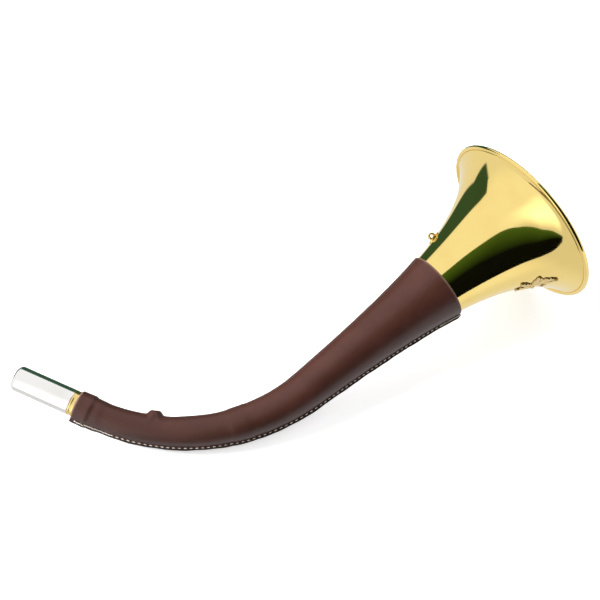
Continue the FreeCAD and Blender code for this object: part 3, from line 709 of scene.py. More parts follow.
@dataclass
class Mouth:
    """Receiver, reed block with its collar, reed and the nickel mouthpiece."""

    course: Course
    finishes: Finishes
    receiver_wall: float = 0.85 * MM
    neck_wall: float = 0.4 * MM
    solder_gap: float = 0.03 * MM
    socket_depth: float = 4 * MM
    tenon_radius: float = 5.6 * MM
    tenon_length: float = 9.3 * MM
    running_gap: float = 0.05 * MM
    collar_width: float = 3.2 * MM
    block_wall: float = 3.1 * MM
    spigot_length: float = 8 * MM
    air_radius: float = 2.4 * MM
    shallot_radius: float = 3.4 * MM
    cap_length: float = 35.8 * MM
    cap_wall: float = 1.05 * MM
    cap_end: float = 1.2 * MM
    cap_round: float = 3 * MM
    blow_radius: float = 3.2 * MM
    collar_hollow: float = 0.22 * MM
    collar_bead: float = 0.8 * MM
    receiver_edge: float = 0.25 * MM
    block_edge: float = 0.35 * MM
    filed_edge: float = 0.12 * MM

    def build(self) -> None:
        """Make the turned pieces and the reed."""
        course, finishes = self.course, self.finishes
        end = course.station(course.bend_end)
        tube_end = course.radius(course.bend_end) + self.solder_gap
        receiver_out = tube_end + self.receiver_wall
        bore = self.tenon_radius + self.running_gap
        length = course.receiver_length
        receiver = [(0, tube_end), (self.socket_depth, tube_end), (self.socket_depth, bore), (length, bore),
                    (length, receiver_out), (course.neck_length, receiver_out),
                    (course.neck_length, tube_end + self.neck_wall), (0, tube_end + self.neck_wall)]
        ride_for(self.turn("receiver_turned", finishes.turned, end, 0, receiver, self.receiver_edge),
                 "horn", "turned_brass", "receiver")
        spigot = self.shallot_radius + self.block_wall
        cap_bore = spigot + self.running_gap
        cap_out = cap_bore + self.cap_wall
        tenon, bead = self.tenon_length, self.collar_bead
        collar_end = tenon + self.collar_width
        block = [(0, self.air_radius), (collar_end, self.air_radius), (collar_end, self.shallot_radius),
                 (collar_end + self.spigot_length, self.shallot_radius),
                 (collar_end + self.spigot_length, spigot), (collar_end, spigot), (collar_end, cap_out),
                 (collar_end - bead, cap_out), (tenon + self.collar_width / 2, cap_out - self.collar_hollow),
                 (tenon + bead, cap_out), (tenon, cap_out), (tenon, self.tenon_radius),
                 (0, self.tenon_radius)]
        ride_for(self.turn("reed_block_turned", finishes.turned, end, length - tenon, block,
                           self.block_edge), "reed_carrier", "turned_brass", "reed_block")
        self.build_cap(end, length + self.collar_width, cap_bore, cap_out)
        for node in ("reed_shallot", "reed_wedge"):
            ride_for(refined(node, f"{node}_filed", finishes.turned, self.filed_edge), "reed_carrier",
                     "turned_brass", node)
        ride_for(refined("reed_tongue", "reed_tongue_filed", finishes.reed, self.filed_edge / 2), "tongue",
                 "reed_brass", "reed_tongue")

    def build_cap(self, end: Station, along: float, bore: float, out: float) -> None:
        """Make the nickel mouthpiece, a tube with a rounded tip and a small hole to blow through.

        Args:
            end: The station where the mouth's axis starts.
            along: Where the mouthpiece starts on the axis.
            bore: Radius of its bore.
            out: Its outer radius.
        """
        length, blow, outer_round = self.cap_length, self.blow_radius, self.cap_round
        inner_round = outer_round - self.cap_wall
        floor = length - self.cap_end
        lip, cut, ease, nick, soft = 0.4 * MM, 0.3, 0.25 * MM, 0.07 * MM, 0.2 * MM
        inner = [(floor - inner_round + inner_round * sine, bore - inner_round + inner_round * cosine)
                 for cosine, sine in self.quarter()]
        tip = [(length - outer_round + outer_round * cosine, out - outer_round + outer_round * sine)
               for cosine, sine in self.quarter()]
        outline = [(ease, bore), *inner, (floor, blow + lip), (floor + lip * cut, blow + lip * cut),
                   (floor + lip, blow), (length - lip, blow), (length - lip * cut, blow + lip * cut),
                   (length, blow + lip), *tip, (self.cap_end, out), (ease, out), (nick, out - nick),
                   (0, out - ease), (0, bore + soft), (0.08 * MM, bore + 0.05 * MM)]
        cap = turned_ring("mouthpiece_plated", self.finishes.nickel, end.centre + end.ahead * along,
                          end.ahead, end.up, outline, 144)
        ride_for(cap, "wind_cap", "nickel", "mouthpiece")

    @staticmethod
    def quarter(steps: int = 12) -> list[Pair]:
        """Cosines and sines round a quarter of a turn."""
        angles = [step / steps * math.pi / 2 for step in range(steps + 1)]
        return [(math.cos(angle), math.sin(angle)) for angle in angles]

    @staticmethod
    def turn(name: str, material: Material, end: Station, along: float,
             outline: Sequence[Pair], edge: float) -> Object:
        """Turn one piece on the mouth's axis with its corners rounded."""
        return turned_ring(name, material, end.centre + end.ahead * along, end.ahead, end.up,
                           rounded(outline, edge))


@dataclass(frozen=True)
class Leaf:
    """One oak leaf of the emblem: where its foot and tip lie, its width, its sideways bow and its lobes."""

    foot: Pair
    tip: Pair
    width: float
    bow: float
    lobes: int

    def half_width(self, share: float) -> float:
        """Half the leaf's width at a share of its length, with round lobes."""
        body = max(0.0, math.sin(math.pi * min(1.0, share * 0.94 + 0.03))) ** 0.65
        return self.width / 2 * body * (0.66 + 0.34 * abs(math.sin(math.pi * self.lobes * share)))

    def relief(self, share: float, across: float) -> Pair:
        """Height from 0 to 1 and recess mark, which paints shade along the rib, the veins and the rim, at a
        place on the leaf; across runs from -1 to 1.
        """
        rib_width, rib_depth, vein_width, vein_depth, vein_slant, rim = 0.11, 0.30, 0.13, 0.22, 0.75, 0.12
        dome = (1 - abs(across) ** 2.6) ** 0.5
        rib = math.exp(-(across / rib_width) ** 2)
        branch = share * self.lobes - abs(across) * vein_slant
        vein = math.exp(-((branch - round(branch)) / vein_width) ** 2) * (1 - rib)
        curl = 0.82 + 0.18 * math.sin(5.3 * share + 2.4 * across)
        height = dome * curl - rib_depth * rib - vein_depth * vein * dome
        return max(0.0, height), min(1.0, rib * 0.4 + vein * 0.2 + smooth((abs(across) - 1 + rim) / rim))


@dataclass(frozen=True)
class Acorn:
    """One acorn of the emblem: its middle, its direction in degrees, its length and its width."""

    middle: Pair
    turn: float
    length: float
    width: float


@dataclass
class Fittings:
    """Strap eye, strap stud, their plates and the oak emblem."""

    course: Course
    finishes: Finishes
    emblem_run: float = 20 * MM
    emblem_turn: float = math.radians(16)
    emblem_slant: float = math.radians(20)
    relief: float = 1.35 * MM
    root: float = 0.12 * MM
    leaves: tuple[Leaf, ...] = (
        Leaf((-0.5 * MM, -0.6 * MM), (-13.0 * MM, -1.8 * MM), 8.2 * MM, 1.2 * MM, 4),
        Leaf((-1.6 * MM, -0.4 * MM), (5.2 * MM, 7.2 * MM), 6.8 * MM, -0.9 * MM, 3),
        Leaf((-0.2 * MM, -1.0 * MM), (13.0 * MM, 0.6 * MM), 8.4 * MM, 1.1 * MM, 4),
        Leaf((-2.6 * MM, 0.4 * MM), (-7.4 * MM, 6.6 * MM), 5.4 * MM, 0.6 * MM, 3))
    acorns: tuple[Acorn, ...] = (
        Acorn((3.6 * MM, -5.2 * MM), -42.0, 5.4 * MM, 3.3 * MM),
        Acorn((-2.6 * MM, -5.2 * MM), -115.0, 4.9 * MM, 3.0 * MM))

    def build(self) -> None:
        """Make the small brass fittings."""
        for node, width in (("bell_eye_plate", 0.15 * MM), ("bell_eye", 0.45 * MM)):
            ride_for(refined(node, f"{node}_dressed", self.finishes.bell, width, 4), "horn",
                     "polished_brass", node)
        for node, width in (("stud_plate", 0.12 * MM), ("strap_stud", 0.3 * MM)):
            ride_for(refined(node, f"{node}_dressed", self.finishes.tube, width), "horn", "plain_brass", node)
        self.build_emblem()

    def on_bell(self, along: float, across: float, height: float) -> Vector:
        """A point over the bell, from its place on the emblem's face and its height off the brass."""
        course = self.course
        slope = course.slope(self.emblem_run)
        radial = -(course.side * math.cos(self.emblem_turn)) + course.up * math.sin(self.emblem_turn)
        meridian = (course.out - radial * slope).normalized()
        around = radial.cross(course.out)
        lean_cos, lean_sin = math.cos(self.emblem_slant), math.sin(self.emblem_slant)
        seat = course.rim - course.out * self.emblem_run + radial * course.radius(self.emblem_run)
        place = (seat + meridian * (along * lean_cos - across * lean_sin)
                 + around * (along * lean_sin + across * lean_cos)) - course.rim
        run = max(2.2 * MM, -place.dot(course.out))
        away = (place - course.out * place.dot(course.out)).normalized()
        outward = (away + course.out * course.slope(run)).normalized()
        return course.rim - course.out * run + away * course.radius(run) + outward * height

    def build_emblem(self) -> None:
        """Make the cast emblem: a sprig of oak leaves with two acorns, laid on the flare."""
        shell = Shell()
        for leaf in self.leaves:
            self.add_leaf(shell, leaf)
        for acorn in self.acorns:
            self.add_acorn(shell, acorn)
        sprig = shell.piece("oak_sprig", self.finishes.cast, 70.0)
        ride_for(sprig, "horn", "cast_brass", "emblem")

    def add_leaf(self, shell: Shell, leaf: Leaf, steps: int = 44, half_columns: int = 9) -> None:
        """Add one closed leaf to the emblem."""
        foot, tip = Vector(leaf.foot), Vector(leaf.tip)
        ahead = (tip - foot).normalized()
        side = Vector((-ahead.y, ahead.x))
        rows = []
        for step in range(steps + 1):
            share = 0.01 + 0.98 * step / steps
            middle = foot.lerp(tip, share) + side * (leaf.bow * math.sin(math.pi * share))
            half = leaf.half_width(share)
            row = []
            for column in range(-half_columns, half_columns + 1):
                across = column / half_columns
                height, recess = leaf.relief(share, across)
                place = middle + side * (across * half)
                row.append(shell.add(self.on_bell(place.x, place.y, 0.18 * MM + height * self.relief),
                                     recess=recess))
            # The sides that go down to the root in the brass carry full painted shade.
            for column in (half_columns, -half_columns):
                place = middle + side * (column / half_columns * half)
                row.append(shell.add(self.on_bell(place.x, place.y, -self.root), recess=1.0))
            rows.append(row)
        shell.grid(rows, capped=True)

    def add_acorn(self, shell: Shell, acorn: Acorn, steps: int = 22, around: int = 20) -> None:
        """Add one closed acorn, half sunk in the brass, with a scaly cup over its lower part."""
        turn = math.radians(acorn.turn)
        ahead = Vector((math.cos(turn), math.sin(turn)))
        side = Vector((-ahead.y, ahead.x))
        cup_share, cup_edge, sunk = 0.38, 0.04, 0.1 * MM
        rows = []
        for step in range(steps + 1):
            share = 0.02 + 0.96 * step / steps
            cup = share < cup_share
            swell = math.sin(math.pi * share) ** 0.55 * (1.15 if cup else 0.98)
            row = []
            for index in range(around):
                angle = TURN * index / around
                scale = 1 + (0.06 * math.sin(angle * 6 + step * 2.2) if cup else 0.0)
                place = (Vector(acorn.middle) + ahead * (acorn.length * (share - 0.5))
                         + side * (math.cos(angle) * acorn.width / 2 * swell * scale))
                height = math.sin(angle) * self.relief * 1.05 * swell * scale
                # Painted shade where the acorn sinks into the brass and at the cup's rim, and a little over the
                # whole cup.
                hidden = height < sunk or abs(share - cup_share) < cup_edge
                row.append(shell.add(self.on_bell(place.x, place.y, max(-self.root, height)),
                                     recess=1.0 if hidden else 0.2 * cup))
            rows.append(row)
        shell.grid(rows, capped=True)


@dataclass
class Cover:
    """The leather cover: a sewn sleeve with a seam fin on the outer curve and a bump over the stud."""

    course: Course
    finishes: Finishes
    edge_run: float = 65.5 * MM
    gap: float = 0.1 * MM
    wall: float = 1.25 * MM
    fin_height: float = 2.0 * MM
    fin_thickness: float = 2.6 * MM
    ridge_share: float = 0.35
    ridge_height: float = 0.27 * MM
    ridge_half: float = 5 * MM
    stud_share: float = 0.748
    stud_rise: float = 2.83 * MM
    stud_radius: float = 2.4 * MM
    stud_foot: float = 3.7 * MM
    shoulder: float = 1.8 * MM
    neck_rise: float = 0.43 * MM
    receiver_rise: float = 0.45 * MM
    shoulder_swell: float = 0.2 * MM
    stitch_pitch: float = 3.1 * MM
    rows: int = 250
    columns: int = 96
    fin_rows: int = 360

    def on_bend(self, share: float) -> float:
        """Run at a share of the bend's length."""
        return self.course.bell_length + self.course.bend_radius * self.course.bend_angle * share

    @property
    def stud_run(self) -> float:
        """Run of the strap stud."""
        return self.on_bend(self.stud_share)

    @property
    def end_run(self) -> float:
        """Run of the cover's end, level with the receiver's."""
        return self.course.bend_end + self.course.receiver_length

    @property
    def length(self) -> float:
        """Length of the cover along the centre line."""
        return self.end_run - self.edge_run

    def brass(self, run: float) -> float:
        """Radius of the brass under the leather, with the receiver, its shoulder and the ferrule."""
        course = self.course
        wide = course.bend_end + course.neck_length
        rise = smooth((run - course.bend_end + 2.5 * self.shoulder) / (3 * self.shoulder)) * self.neck_rise
        rise += smooth((run - wide + self.shoulder) / self.shoulder) * self.receiver_rise
        rise += math.exp(-((run - wide - self.shoulder / 3) / self.shoulder) ** 2) * self.shoulder_swell
        ridge = 1 - smooth((abs(run - self.on_bend(self.ridge_share)) - self.ridge_half + 1 * MM) / (3 * MM))
        return course.radius(min(run, course.bend_end)) + rise + ridge * self.ridge_height

    def skin(self, run: float, turn: float) -> Pair:
        """Outer radius of the leather and its crease mark, painted shade in the troughs of the folds, at a run
        and a turn from the seam.
        """
        base = self.brass(run) + self.gap + self.wall
        # the bump over the stud, on the inner side of the bend, with folds running out from it
        fold_height, fold_count, fold_reach, fold_width = 0.20 * MM, 9, 2.1, 1.3
        along = run - self.stud_run
        across = wrap(turn - math.pi) * base
        away = math.hypot(along, across)
        around = math.atan2(across, along)
        fade = math.exp(-((away / self.stud_radius - fold_reach) / fold_width) ** 2)
        fold = math.sin(around * fold_count + 1.3 * math.sin(around * 2)) * fade
        base += self.bump(away) + fold * fold_height
        # slack wrinkles on the inner side of the bend
        wrinkle_height, wrinkle_length, drift = 0.14 * MM, 7.3 * MM, 19 * MM
        inner = max(0.0, -math.cos(turn)) ** 1.5
        bend = smooth((run - self.course.bell_length) / (20 * MM)) * smooth((self.end_run - run) / (30 * MM))
        wave = math.sin(run / wrinkle_length + 1.7 * math.sin(run / drift) + 0.6 * math.sin(turn * 3))
        base += wave * inner * bend * wrinkle_height
        # the pull of the seam: shallow dimples between the stitches
        pull_depth, pull_width = 0.12 * MM, 2.6 * MM
        pull = math.exp(-(turn * base / pull_width) ** 2)
        base -= pull * pull_depth * (0.5 + 0.5 * self.stitch_wave(run))
        # painted shade: the crease mark darkens the troughs of the folds round the stud
        return base, min(1.0, max(0.0, -fold) * 0.9)

    def bump(self, away: float) -> float:
        """How far the stud lifts the leather at a distance from its middle."""
        return self.stud_rise * (1 - smooth((away - self.stud_radius) / self.stud_foot))

    def stitch_wave(self, run: float) -> float:
        """A wave between -1 and 1 in step with the stitches."""
        return math.cos(TURN * (run - self.edge_run) / self.stitch_pitch)

    def build(self) -> None:
        """Make the cover and its stitches."""
        self.build_sleeve()
        Stitching(self.course, self.finishes, self).build()

    def build_sleeve(self) -> None:
        """Make the sleeve as one closed canal: outside, rounded ends and inside."""
        shell = Shell()
        outer, inner = [], []
        end_round, mouth_round, pale_band = 0.55 * MM, 1.1 * MM, 0.9 * MM
        stops = [(0.0, 1.0), (0.12, 0.55), (0.4, 0.2), (1.0, 0.0)]
        runs = [(self.edge_run + end_round * far, end_round * low) for far, low in stops]
        span = self.length - end_round - mouth_round
        runs += [(self.edge_run + end_round + span * step / self.rows, 0.0) for step in range(1, self.rows)]
        runs += [(self.end_run - mouth_round * far, mouth_round * low * 0.8) for far, low in reversed(stops)]
        turns = [TURN * step / self.columns for step in range(self.columns)]
        for run, dip in runs:
            station = self.course.station(run)
            near = min(run - self.edge_run, self.end_run - run)
            edge = 1 - smooth(near / pale_band)
            row = []
            for turn in turns:
                radius, crease = self.skin(run, wrap(turn))
                row.append(shell.add(station.ring_point(turn, radius - dip), edge=edge, crease=crease))
            outer.append(row)
        inner_every = 6
        for run, _ in reversed(runs[::inner_every] + [runs[-1]]):
            station = self.course.station(run)
            row = []
            for turn in turns:
                radius = self.brass(run) + self.gap * 0.6
                away = math.hypot(run - self.stud_run, wrap(turn - math.pi) * radius)
                # The inside carries a half crease mark, painted shade, and a little of the pale cut edge's
                # colour.
                row.append(shell.add(station.ring_point(turn, radius + self.bump(away)),
                                     edge=0.3, crease=0.5))
            inner.append(row)
        shell.grid(outer + inner, closed_along=True)
        sleeve = shell.piece("leather_cover", self.finishes.leather, 60.0)
        join(sleeve, self.build_fin())
        ride_for(sleeve, "horn", "brown_leather", "leather_sleeve")

    def fin_outline(self) -> list[tuple[float, float, float, float]]:
        """Cross-section of the fin: (reach from the skin, height off the plane, black mark, crease mark); the
        crease mark paints shade at the fin's foot and in the groove between the two layers.
        """
        half, top = self.fin_thickness / 2, self.fin_height
        soft, notch = 0.45 * MM, 0.22 * MM
        face = [(-1.0 * MM, -half - 0.5 * MM, 0.0, 0.0), (0.05 * MM, -half - 0.1 * MM, 0.0, 0.3),
                (0.3 * MM, -half, 0.0, 0.0), (0.86 * MM, -half, 0.0, 0.0),
                (0.96 * MM, -half + 0.03 * MM, 0.9, 0.0), (top - soft, -half + 0.06 * MM, 1.0, 0.0),
                (top - soft * 0.3, -half + soft * 0.3, 1.0, 0.0), (top, -half + soft, 1.0, 0.0),
                (top - 0.04 * MM, -notch, 1.0, 0.0)]
        mirrored = [(reach, -height, black, crease) for reach, height, black, crease in reversed(face)]
        return face + [(top - notch * 1.4, 0.0, 1.0, 0.6)] + mirrored

    def build_fin(self) -> Object:
        """Make the seam fin: two layers of leather, cut flush, with a groove between them."""
        shell = Shell()
        rows = []
        start, over, taper_share = 0.15 * MM, 0.1 * MM, 0.012
        foot, edge, dent = 0.2 * MM, 0.5 * MM, 0.09 * MM
        outline = self.fin_outline()
        for index in range(self.fin_rows + 1):
            share = index / self.fin_rows
            run = self.edge_run + start + (self.length - over) * share
            station = self.course.station(run)
            seat = self.brass(run) + self.gap + self.wall
            wander = 0.10 * MM * math.sin(share * 61) + 0.06 * MM * math.sin(share * 147 + 1)
            taper = 0.55 + 0.45 * smooth(share / taper_share)
            row = []
            for reach, lift, black, crease in outline:
                pressed = dent * self.stitch_wave(run) if foot < reach < 2 * edge else 0.0
                side = lift - math.copysign(1.0, lift) * pressed
                high = reach + (wander if reach > edge else 0)
                high = high * taper if high > 0 else high
                row.append(shell.add(station.centre - station.inward * (seat + high) + station.up * side,
                                     black=black, crease=crease))
            rows.append(row)
        shell.grid(rows, capped=True)
        return shell.piece("fin_part", self.finishes.leather, 50.0)


def smooth(share: float) -> float:
    """Smooth step of a share held between 0 and 1."""
    share = min(1.0, max(0.0, share))
    return share * share * (3 - 2 * share)


def sampled(corners: Sequence[Pair], count: int) -> list[Vector]:
    """Points along a line of corners, as many between each two corners."""
    made = []
    for index in range(count + 1):
        place = index / count * (len(corners) - 1)
        first = min(int(place), len(corners) - 2)
        made.append(Vector(corners[first]).lerp(Vector(corners[first + 1]), place - first))
    return made


def wrap(turn: float) -> float:
    """An angle brought between minus half a turn and half a turn."""
    return (turn + math.pi) % TURN - math.pi


def join(main: Object, *others: Object) -> None:
    """Join other objects' meshes into the first."""
    with bpy.context.temp_override(active_object=main, selected_editable_objects=[main, *others]):
        bpy.ops.object.join()


@dataclass
class Stitching:
    """Saddle stitches along both faces of the seam fin."""

    course: Course
    finishes: Finishes
    cover: Cover
    length: float = 2.0 * MM
    width: float = 0.48 * MM
    height: float = 0.40 * MM
    dive: float = 0.42 * MM
    inset: float = 1.4 * MM
    doubled_at_bell: int = 4
    doubled_at_mouth: int = 7
    seed: int = 4

    def path(self, side: int) -> Object:
        """A line of points, one for each stitch, with the stitch's direction stored on it.

        Args:
            side: 1 for the fin's upper face, -1 for the lower.

        Returns:
            The line, an object without faces.
        """
        cover, pitch = self.cover, self.cover.stitch_pitch
        count = int(cover.length / pitch)
        lift = cover.fin_thickness / 2 + 0.10 * MM
        places = [((index + 0.5) * pitch, 0.0, 0.0) for index in range(count)]
        # the ends are sewn twice, the second pass half a pitch on
        places += [((index + 1.0) * pitch, 0.04 * MM, 0.12 * MM) for index in
                   (*range(self.doubled_at_bell), *range(count - self.doubled_at_mouth - 1, count - 1))]
        up = self.course.up * side
        points, aheads = [], []
        for distance, higher, further in places:
            run = cover.edge_run + distance
            station = self.course.station(run)
            reach = cover.brass(run) + cover.gap + cover.wall + cover.fin_height - self.inset + further
            points.append(tuple(station.centre - station.inward * reach + up * (lift + higher)))
            aheads.extend(station.ahead)
        mesh = bpy.data.meshes.new("stitch_points")
        mesh.from_pydata(points, [], [])
        for name, flat in (("ahead", aheads), ("outward", [*up] * len(points))):
            mesh.attributes.new(name, "FLOAT_VECTOR", "POINT").data.foreach_set("vector", flat)
        return linked(f"stitch_points_{side}", mesh)

    def strand(self) -> Object:
        """One stitch, along X with its top on Z: a fat strand that dives into the leather at both ends."""
        shell = Shell()
        rings, around, thinnest = 9, 8, 0.62
        rows = []
        for index in range(rings):
            share = index / (rings - 1) * 2 - 1
            drop = abs(share) ** 3.0 * self.dive
            thick = thinnest + (1 - thinnest) * math.sqrt(max(0.0, 1 - share * share))
            rows.append([shell.add(Vector((share * self.length / 2,
                                           math.cos(TURN * step / around) * self.width / 2 * thick,
                                           math.sin(TURN * step / around) * self.height / 2 * thick - drop)))
                         for step in range(around)])
        shell.grid(rows, capped=True)
        return shell.piece("strand", self.finishes.thread, 80.0)

    def tree(self) -> NodeTree:
        """Geometry nodes that set a strand on each point, turned to its direction and a little unevenly."""
        tree = bpy.data.node_groups.new("sewing", "GeometryNodeTree")
        graph = Graph(tree)
        for name, way, kind in (("Geometry", "INPUT", "Geometry"), ("Strand", "INPUT", "Object"),
                                ("Unevenness", "INPUT", "Float"), ("Thread", "INPUT", "Material"),
                                ("Geometry", "OUTPUT", "Geometry")):
            tree.interface.new_socket(name, in_out=way, socket_type=f"NodeSocket{kind}")
        vector = {"data_type": "FLOAT_VECTOR"}
        entry = graph.node("NodeGroupInput").outputs
        strand = graph.signal("GeometryNodeObjectInfo", "Geometry", None, {"Object": entry["Strand"]})
        ahead, outward = (graph.signal("GeometryNodeInputNamedAttribute", 0, vector, {"Name": name})
                          for name in ("ahead", "outward"))
        facing = graph.signal("FunctionNodeAlignRotationToVector", 0, {"axis": "X"}, {"Vector": ahead})
        upright = graph.signal("FunctionNodeAlignRotationToVector", 0, {"axis": "Z", "pivot_axis": "X"},
                               {"Rotation": facing, "Vector": outward})
        tilt = graph.signal("FunctionNodeRandomValue", 0, vector,
                            {0: (-0.02, -0.03, -0.16), 1: (0.02, 0.03, 0.02), "Seed": self.seed})
        uneven = graph.signal("ShaderNodeVectorMath", 0, {"operation": "SCALE"},
                              {0: tilt, "Scale": entry["Unevenness"]})
        turned = graph.signal("FunctionNodeRotateRotation", 0, {"rotation_space": "LOCAL"},
                              {"Rotation": upright, "Rotate By": uneven})
        size = graph.signal("FunctionNodeRandomValue", 0, vector,
                            {0: (0.93, 0.9, 0.92), 1: (1.05, 1.1, 1.06), "Seed": self.seed + 1})
        placed = graph.signal("GeometryNodeInstanceOnPoints", 0, None, {
            "Points": entry["Geometry"], "Instance": strand, "Rotation": turned, "Scale": size})
        solid = graph.signal("GeometryNodeRealizeInstances", 0, None, {"Geometry": placed})
        dressed = graph.signal("GeometryNodeSetMaterial", 0, None,
                               {"Geometry": solid, "Material": entry["Thread"]})
        graph.node("NodeGroupOutput", None, {"Geometry": dressed})
        return tree

    def build(self) -> None:
        """Sew both faces and join them into one piece."""
        thread = self.finishes.thread
        strand = self.strand()
        tree = self.tree()
        inputs = {item.name: item.identifier for item in tree.interface.items_tree if item.in_out == "INPUT"}
        sewn = []
        for side in (1, -1):
            line = self.path(side)
            modifier = line.modifiers.new("sewing", "NODES")
            modifier.node_group = tree
            for name, value in (("Strand", strand), ("Unevenness", 1.0), ("Thread", thread)):
                modifier[inputs[name]] = value
            bpy.context.view_layer.update()
            graph = bpy.context.evaluated_depsgraph_get()
            mesh = bpy.data.meshes.new_from_object(line.evaluated_get(graph))
            line.modifiers.remove(modifier)
            bpy.data.objects.remove(line)
            sewn.append(finished(mesh, f"saddle_stitches_{side}", thread, 80.0))
        bpy.data.objects.remove(strand)
        join(*sewn)
        sewn[0].name = "saddle_stitches"
        ride_for(sewn[0], "horn", "pale_thread", "seam_thread")


# ---------------------------------------------------------------- studio
@dataclass
class Studio:
    """Pale floor, soft light, a dark flag that gives the polished brass its dark bands, and the camera."""

    course: Course
    lens: float = 47.6
    sensor: float = 36.0
    floor_size: float = 6.0
    floor_glow: float = 0.5
    floor_white: float = 0.92
    seen_white: float = 0.96
    unseen_white: float = 0.4
    surround_low: Triple = (0.86, 0.86, 0.86)
    surround_high: Triple = (1.0, 1.0, 1.0)
    surround_back: Triple = (0.76, 0.76, 0.76)
    band_colour: Triple = (0.040, 0.092, 0.055)
    flag_edge: Triple = (0.065, 0.135, 0.02)
    flag_deep: Triple = (0.003, 0.004, 0.003)
    flag_height: float = 320 * MM
    flag_fade: float = 190
    flag_samples: int = 90
    flag_upper: tuple[Pair, ...] = (
        (400, 140), (-96, 130), (-117, 120), (-152, 90), (-205, 60), (-235, 38), (-294, -25), (-396, -108),
        (-575, -251), (-1066, -516), (-7000, -3960))
    flag_lower: tuple[Pair, ...] = (
        (400, -1000), (-88, -1020), (-292, -1040), (-472, -1104), (-1029, -1609), (-2301, -2470),
        (-4876, -3648), (-7000, -5200))
    strip_colour: Triple = (1.0, 1.0, 0.97)
    strip_strength: float = 1.85
    strip_profile: tuple[Pair, ...] = ((0.1, 0.0), (0.5, 0.55), (0.9, 1.0), (1.3, 0.75), (1.9, 0.0))
    camera_place: Triple = (-195.8 * MM, 27.2 * MM, 472.8 * MM)
    camera_back: Triple = (-0.122, -0.036, 0.992)
    camera_top: Triple = (0.6055, 0.789, 0.103)

    def build(self) -> None:
        """Make the floor, the lights, the world and the camera."""
        self.build_floor()
        self.build_world()
        self.build_flag()
        self.build_lights()
        self.build_camera()

    def build_floor(self) -> None:
        """A plain pale floor that polished metal doesn't mirror."""
        half = self.floor_size
        mesh = bpy.data.meshes.new("floor")
        mesh.from_pydata([(-half, -half, 0), (half, -half, 0), (half, half, 0), (-half, half, 0)], [],
                         [(0, 1, 2, 3)])
        material, graph = new_material("floor_paper")
        graph.principled({"Roughness": 0.9, "Base Color": (*[self.floor_white] * 3, 1),
                          "Specular IOR Level": 0.0, "Emission Color": (1, 1, 1, 1),
                          "Emission Strength": self.floor_glow}, {})
        mesh.materials.append(material)
        floor = linked("floor", mesh)
        floor.visible_glossy = False
        floor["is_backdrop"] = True

    def build_world(self) -> None:
        """An even bright surround with one dark band behind the bell's inner side."""
        world = bpy.data.worlds.new("studio")
        bpy.context.scene.world = world
        world.use_nodes = True
        graph = Graph(world.node_tree)
        where = graph.signal("ShaderNodeTexCoord", "Generated")
        aside, above, ahead = (graph.along(where, axis)
                               for axis in (self.course.side, self.course.up, self.course.out))
        # the band lies between two angles about the bell's axis, in degrees, which change along the axis
        angle = aside.math("ARCTAN2", aside, above) * (360 / TURN)
        start = (ahead + 0.40).positive() * 30 + ahead.step(-0.50, -0.56) * 15 + 90
        start = start - ahead.step(0.42, 0.6) * 24
        end = (ahead + 0.28).positive() * 58.7 + 125
        soft = 1.5
        band = (angle - start).step(-soft, soft) * (end - angle).step(-soft, soft)
        band = band * ahead.step(-0.585, -0.545)
        surround = graph.mix(above.step(-0.35, 0.05), self.surround_low, self.surround_high)
        surround = graph.mix(ahead.step(-0.3, -0.62) * aside.step(0.1, -0.2), surround, self.surround_back)
        ray = graph.node("ShaderNodeLightPath").outputs
        glossy = graph.node("ShaderNodeBackground", None, {
            "Color": graph.mix(band, surround, self.band_colour), "Strength": 1.0})
        seen = Signal(graph, ray["Is Camera Ray"])
        plain = graph.node("ShaderNodeBackground", None, {
            "Color": (1.0, 1.0, 1.0, 1.0),
            "Strength": seen * (self.seen_white - self.unseen_white) + self.unseen_white})
        chosen = graph.node("ShaderNodeMixShader", None, {
            0: ray["Is Glossy Ray"], 1: plain.outputs[0], 2: glossy.outputs[0]})
        graph.finish(chosen.outputs[0], "World")

    def build_flag(self) -> None:
        """A dark flag beside the camera with a bright strip on its edge, both seen only in reflections."""
        upper = sampled(self.flag_upper, self.flag_samples)
        lower = sampled(self.flag_lower, self.flag_samples)
        inner = []
        for index, edge in enumerate(upper):
            ahead = (upper[min(index + 1, len(upper) - 1)] - upper[max(index - 1, 0)]).normalized()
            inner.append(edge + Vector((-ahead.y, ahead.x)) * self.flag_fade)
        dark = Shell()
        rows = [[dark.add(self.hung(place.x, place.y), depth=depth) for place in line]
                for line, depth in ((upper, 0.0), (inner, 1.0), (lower, 1.0))]
        dark.grid(rows, closed_round=False)
        material, graph = new_material("dark_flag")
        colour = graph.mix(graph.attribute("depth"), self.flag_edge, self.flag_deep)
        graph.finish(graph.glow(colour, 1.0))
        self.hang(dark, "dark_flag", material)
        strip = Shell()
        rows = []
        narrow, widening, rise, rise_span, fall, fall_span = 12, 0.36, 225, 380, 2500, 3000
        for offset, glow in self.strip_profile:
            row = []
            for edge in upper:
                far = max(0.0, -edge.x)
                width = narrow + widening * far
                shine = glow * smooth((far - rise) / rise_span) * (1 - 0.6 * smooth((far - fall) / fall_span))
                row.append(strip.add(self.hung(edge.x, edge.y + offset * width), glow=shine))
            rows.append(row)
        strip.grid(rows, closed_round=False)
        material, graph = new_material("bright_strip")
        clear = graph.node("ShaderNodeBsdfTransparent")
        shown = graph.node("ShaderNodeMixShader", None, {
            0: graph.attribute("glow"), 1: clear.outputs[0],
            2: graph.glow(self.strip_colour, self.strip_strength)})
        graph.finish(shown.outputs[0])
        self.hang(strip, "bright_strip", material)

    def hung(self, along: float, side: float) -> Vector:
        """A point at the flag's height, from millimetres out of the bell and to the side."""
        return self.course.point(along * MM, side * MM, self.flag_height)

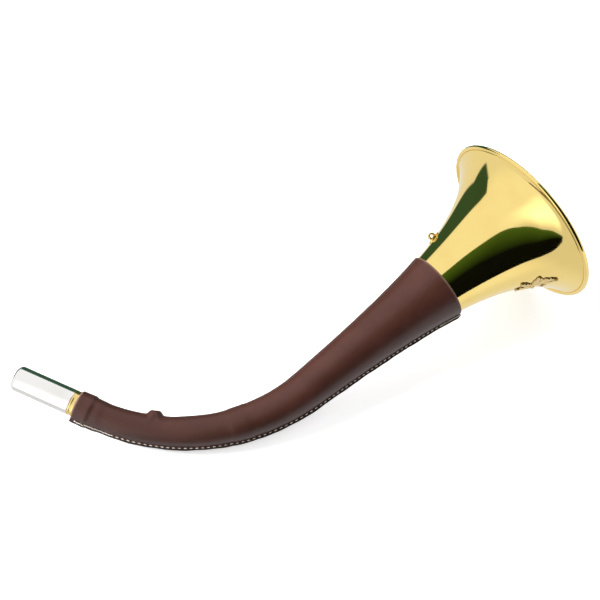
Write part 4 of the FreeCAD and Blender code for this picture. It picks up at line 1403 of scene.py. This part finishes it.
    @staticmethod
    def hang(shell: Shell, name: str, material: Material) -> None:
        """Make an open sheet that is seen only in reflections."""
        mesh = shell.mesh(name)
        mesh.materials.append(material)
        sheet = linked(name, mesh)
        sheet.visible_camera = False
        sheet.visible_diffuse = False
        sheet.visible_shadow = False
        sheet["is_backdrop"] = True

    def build_lights(self) -> None:
        """One large soft key from the upper left of the picture and a weak fill."""
        middle = (CAD_BOX[0] + CAD_BOX[1]) / 2
        for name, direction, distance, size, power in (
                ("key", self.course.seen(-0.45, 0.85, 0.5), 1.3, 0.8, 38.0),
                ("fill", self.course.seen(0.3, 0.1, 0.95), 1.5, 1.2, 5.0)):
            light = bpy.data.lights.new(name, "AREA")
            light.shape = "DISK"
            light.size = size
            light.energy = power
            lamp = linked(name, light)
            lamp.location = middle + direction.normalized() * distance
            lamp.rotation_mode = "QUATERNION"
            lamp.rotation_quaternion = direction.to_track_quat("Z", "Y")
            lamp.visible_glossy = False

    def build_camera(self) -> None:
        """The camera over the horn's flat side."""
        data = bpy.data.cameras.new("camera")
        data.lens = self.lens
        data.sensor_width = self.sensor
        data.clip_start = 0.01
        data.clip_end = 50
        camera = linked("camera", data)
        back = self.course.seen(*self.camera_back).normalized()
        right = self.course.seen(*self.camera_top).normalized().cross(back).normalized()
        turn = Matrix((right, back.cross(right), back)).transposed()
        camera.matrix_world = Matrix.Translation(self.course.point(*self.camera_place)) @ turn.to_4x4()
        bpy.context.scene.camera = camera
        bpy.context.scene.view_settings.view_transform = "Standard"


def main() -> None:
    """Build the horn piece by piece, then the studio, and note the sizes."""
    logging.basicConfig(level=logging.INFO, format="%(name)s: %(message)s")
    course = Course.from_frame()
    finishes = Finishes(course)
    for assembly in (Bell(course, finishes), Mouth(course, finishes), Fittings(course, finishes),
                     Cover(course, finishes), Studio(course)):
        LOG.info("building %s", type(assembly).__name__)
        assembly.build()
    boxes = {"cad": [list(corner) for corner in CAD_BOX], "visual": [list(corner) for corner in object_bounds()]}
    for name, (low, high) in boxes.items():
        LOG.info("%s box %s", name, [round((b - a) / MM, 2) for a, b in zip(low, high)])


if __name__ == "__main__":
    main()
